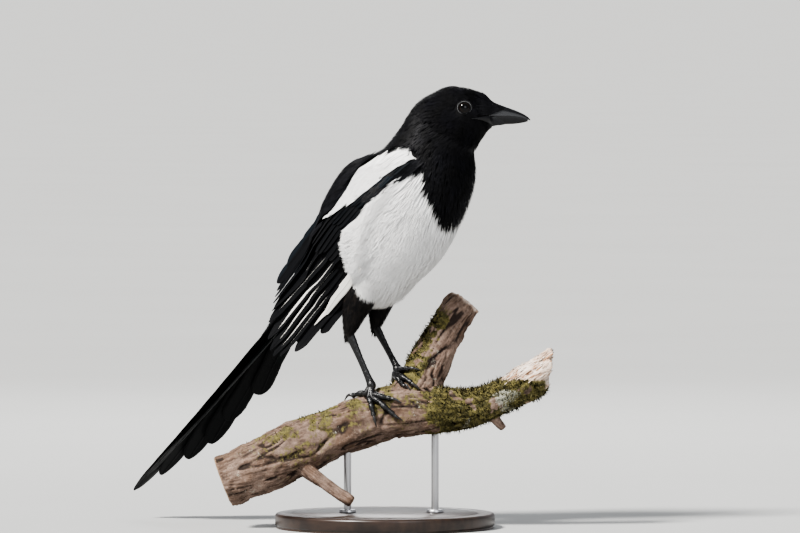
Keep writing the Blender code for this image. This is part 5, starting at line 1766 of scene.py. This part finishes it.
def build_moss(places, normals, moss):
    """Short curved blades in the moss patches, mostly upright."""
    count, each = MOSS_BLADES, (MOSS_BLADES, 3)
    chance = moss**1.5
    chosen = draw.choice(len(places), count, p=chance / chance.sum())
    root = places[chosen] + draw.normal(0, 0.35, each)
    normal = normals[chosen]
    heading = unit(normal + draw.normal(0, 0.55, each) + (0, 0, 0.3))
    length = draw.uniform(1.2, 3.4, count) * (0.5 + 0.6 * moss[chosen])
    share = np.linspace(0, 1, 3)[None, :, None]
    bend = draw.normal(0, 0.35, each)
    path = root[:, None] - normal[:, None] * 0.5 + length[:, None, None] * (
        heading[:, None] * share + bend[:, None] * share**2)
    widths = np.repeat(draw.uniform(0.35, 0.75, (count, 1)), 3, axis=1)
    at = np.stack([chosen % 211 / 211, chosen // 211 % 197 / 197], 1) * 0.98 + 0.01
    sides = unit(np.cross(heading, draw.normal(0, 1, each)))
    tone = np.clip(0.5 + 0.4 * ripple(root, 9.0) + draw.normal(0, 0.15, count), 0, 1)
    mesh = blade_mesh("moss", path, np.repeat(sides[:, None], 3, 1), widths, 0.5, {"tone": tone}, at)
    place_mesh("moss", mesh, moss_blade, "bark")


def build_splinters(places, normals, torn, ahead):
    """Fibres that stand out of the broken end, along the branch."""
    chance = torn**2
    chosen = draw.choice(len(places), SPLINTERS, p=chance / chance.sum())
    normal = normals[chosen][:, None]
    length = draw.uniform(3, 9, SPLINTERS)[:, None]
    share = np.linspace(0, 1, 4)
    stray = draw.normal(0, 0.10, (SPLINTERS, 3))
    bulge = 0.55 * np.sin(np.pi * share)
    path = places[chosen][:, None] + (ahead[chosen] + stray)[:, None] * (
        length * (share[None] - 0.72))[..., None] + normal * bulge[None, :, None]
    widths = np.repeat(draw.uniform(0.5, 1.3, (SPLINTERS, 1)), 4, axis=1)
    mesh = blade_mesh("splinters", path, np.repeat(normal, 4, 1), widths, 0.35,
                      {"tone": draw.uniform(0, 1, SPLINTERS)}, spread_out(SPLINTERS))
    place_mesh("splinters", mesh, splinter_wood, "bark")


# Display stand.


BASE_RADIUS = 88.0
BASE_THICKNESS = 12.0
BASE_EDGE = 2.5
# The top with its turned groove, as (distance in from the rim, depth), and the foot below the
# rim, as (distance in from the rim, height).
BASE_TOP = [(BASE_RADIUS, 0), (14, 0), (13.4, 0.5), (12.4, 0.5), (11.8, 0), (BASE_EDGE, 0)]
BASE_FOOT = [(0, 3.0), (0.5, 2.4), (1.2, 1.6), (1.0, 0.0), (BASE_RADIUS, 0)]


def build_stand():
    """The base turned finely with a foot below its rim, and the rods, each with a flange at its foot."""
    rounded = [(BASE_EDGE - BASE_EDGE * math.sin(a), BASE_THICKNESS - BASE_EDGE + BASE_EDGE * math.cos(a))
               for a in np.linspace(0.2, math.pi / 2, 7)]
    top = [(inward, BASE_THICKNESS - depth) for inward, depth in BASE_TOP]
    shell = bmesh.new()
    verts = [shell.verts.new(((BASE_RADIUS - inward) * MM, 0, z * MM))
             for inward, z in top + rounded + BASE_FOOT]
    edges = [shell.edges.new(pair) for pair in zip(verts, verts[1:])]
    bmesh.ops.spin(shell, geom=verts + edges, cent=(0, 0, 0), axis=(0, 0, 1), angle=2 * math.pi,
                   steps=160, use_merge=True)
    bmesh.ops.remove_doubles(shell, verts=shell.verts, dist=1e-6)
    place_mesh("base", finished_mesh("base", shell, sharp=40), stand_lacquer, "stand_lacquer", "stand_base")

    def add_cone(rod, radius_1, radius_2, depth, place):
        return bmesh.ops.create_cone(rod, cap_ends=True, segments=48, radius1=radius_1, radius2=radius_2,
                                     depth=depth, matrix=Matrix.Translation(place))["verts"]

    for name in ("rod_1", "rod_2"):
        low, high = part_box(f"stand_{name}")
        middle = (low + high) / 2
        radius = (high.x - low.x) / 2
        rod = bmesh.new()
        add_cone(rod, radius, radius, high.z - low.z, middle)
        flange = add_cone(rod, 7 * MM, 6.4 * MM, 2.4 * MM, (middle.x, middle.y, low.z + 1.2 * MM))
        rim = dict.fromkeys(e for v in flange for e in v.link_edges
                            if len(e.link_faces) == 2 and e.calc_face_angle(0) > 1.0)
        bmesh.ops.bevel(rod, geom=list(rim), offset=0.5 * MM, segments=3, profile=0.5, affect="EDGES",
                        material=-1)
        place_mesh(name, finished_mesh(name, rod, sharp=40), stand_steel, "stand_steel", f"stand_{name}")


# Floor, light and camera.


def lamp(name, kind, power, colour, way):
    """A lamp that shines a given way."""
    data = bpy.data.lights.new(name, kind)
    data.energy = power
    data.color = colour
    item = added(name, data)
    item.rotation_euler = Vector(way).to_track_quat("-Z", "Y").to_euler()
    return item


def soft_light(name, place, size, power, colour):
    """A round soft light at a place, which shines on the bird."""
    item = lamp(name, "AREA", power, colour, Vector((0, 0, 0.25)) - Vector(place))
    item.data.shape = "DISK"
    item.data.size = size
    item.location = place


def build_stage():
    bpy.ops.mesh.primitive_plane_add(size=1600.0)
    floor = bpy.context.object
    floor.name = "floor"
    floor.data.materials.append(studio_floor)


def build_light():
    world = bpy.data.worlds.new("studio")
    world.use_nodes = True
    sky = world.node_tree.nodes["Background"].inputs
    sky["Color"].default_value = (0.93, 0.95, 1.0, 1.0)
    sky["Strength"].default_value = 0.42
    bpy.context.scene.world = world
    key = lamp("key", "SUN", 8.2, (1.0, 0.975, 0.94), (0.30, 0.95, -1.0))
    key.data.angle = math.radians(12)
    soft_light("fill", (1.6, -1.2, 1.0), 1.2, 14.0, (0.95, 0.97, 1.0))
    soft_light("back", (-1.0, 1.6, 1.3), 1.0, 16.0, (1.0, 1.0, 1.0))


def build_camera():
    turn, rise = math.radians(CAMERA_TURN), math.radians(CAMERA_RISE)
    right = Vector((math.cos(turn), math.sin(turn), 0))
    back = Vector((math.sin(turn) * math.cos(rise), -math.cos(turn) * math.cos(rise), math.sin(rise)))
    aim = (right * PICTURE_CENTRE[0] + Vector((0, 0, PICTURE_CENTRE[1]))) * MM
    data = bpy.data.cameras.new("camera")
    data.sensor_width = 36.0
    data.lens = 36.0 * CAMERA_DISTANCE / PICTURE_WIDTH
    data.clip_end = 2000.0
    camera = added("camera", data)
    camera.location = aim + back * CAMERA_DISTANCE * MM
    camera.rotation_mode = "QUATERNION"
    camera.rotation_quaternion = (-back).to_track_quat("-Z", "Y")
    scene = bpy.context.scene
    scene.camera = camera
    scene.view_settings.view_transform = "AgX"
    scene.view_settings.look = "AgX - Medium High Contrast"


build_camera()
build_light()
build_stage()
build_skin()
body_coat()
thigh_coat()
build_wings()
build_tail()
build_bill()
build_bill_corners()
build_eyes()
build_bristles()
build_legs()
build_perch()
build_stand()
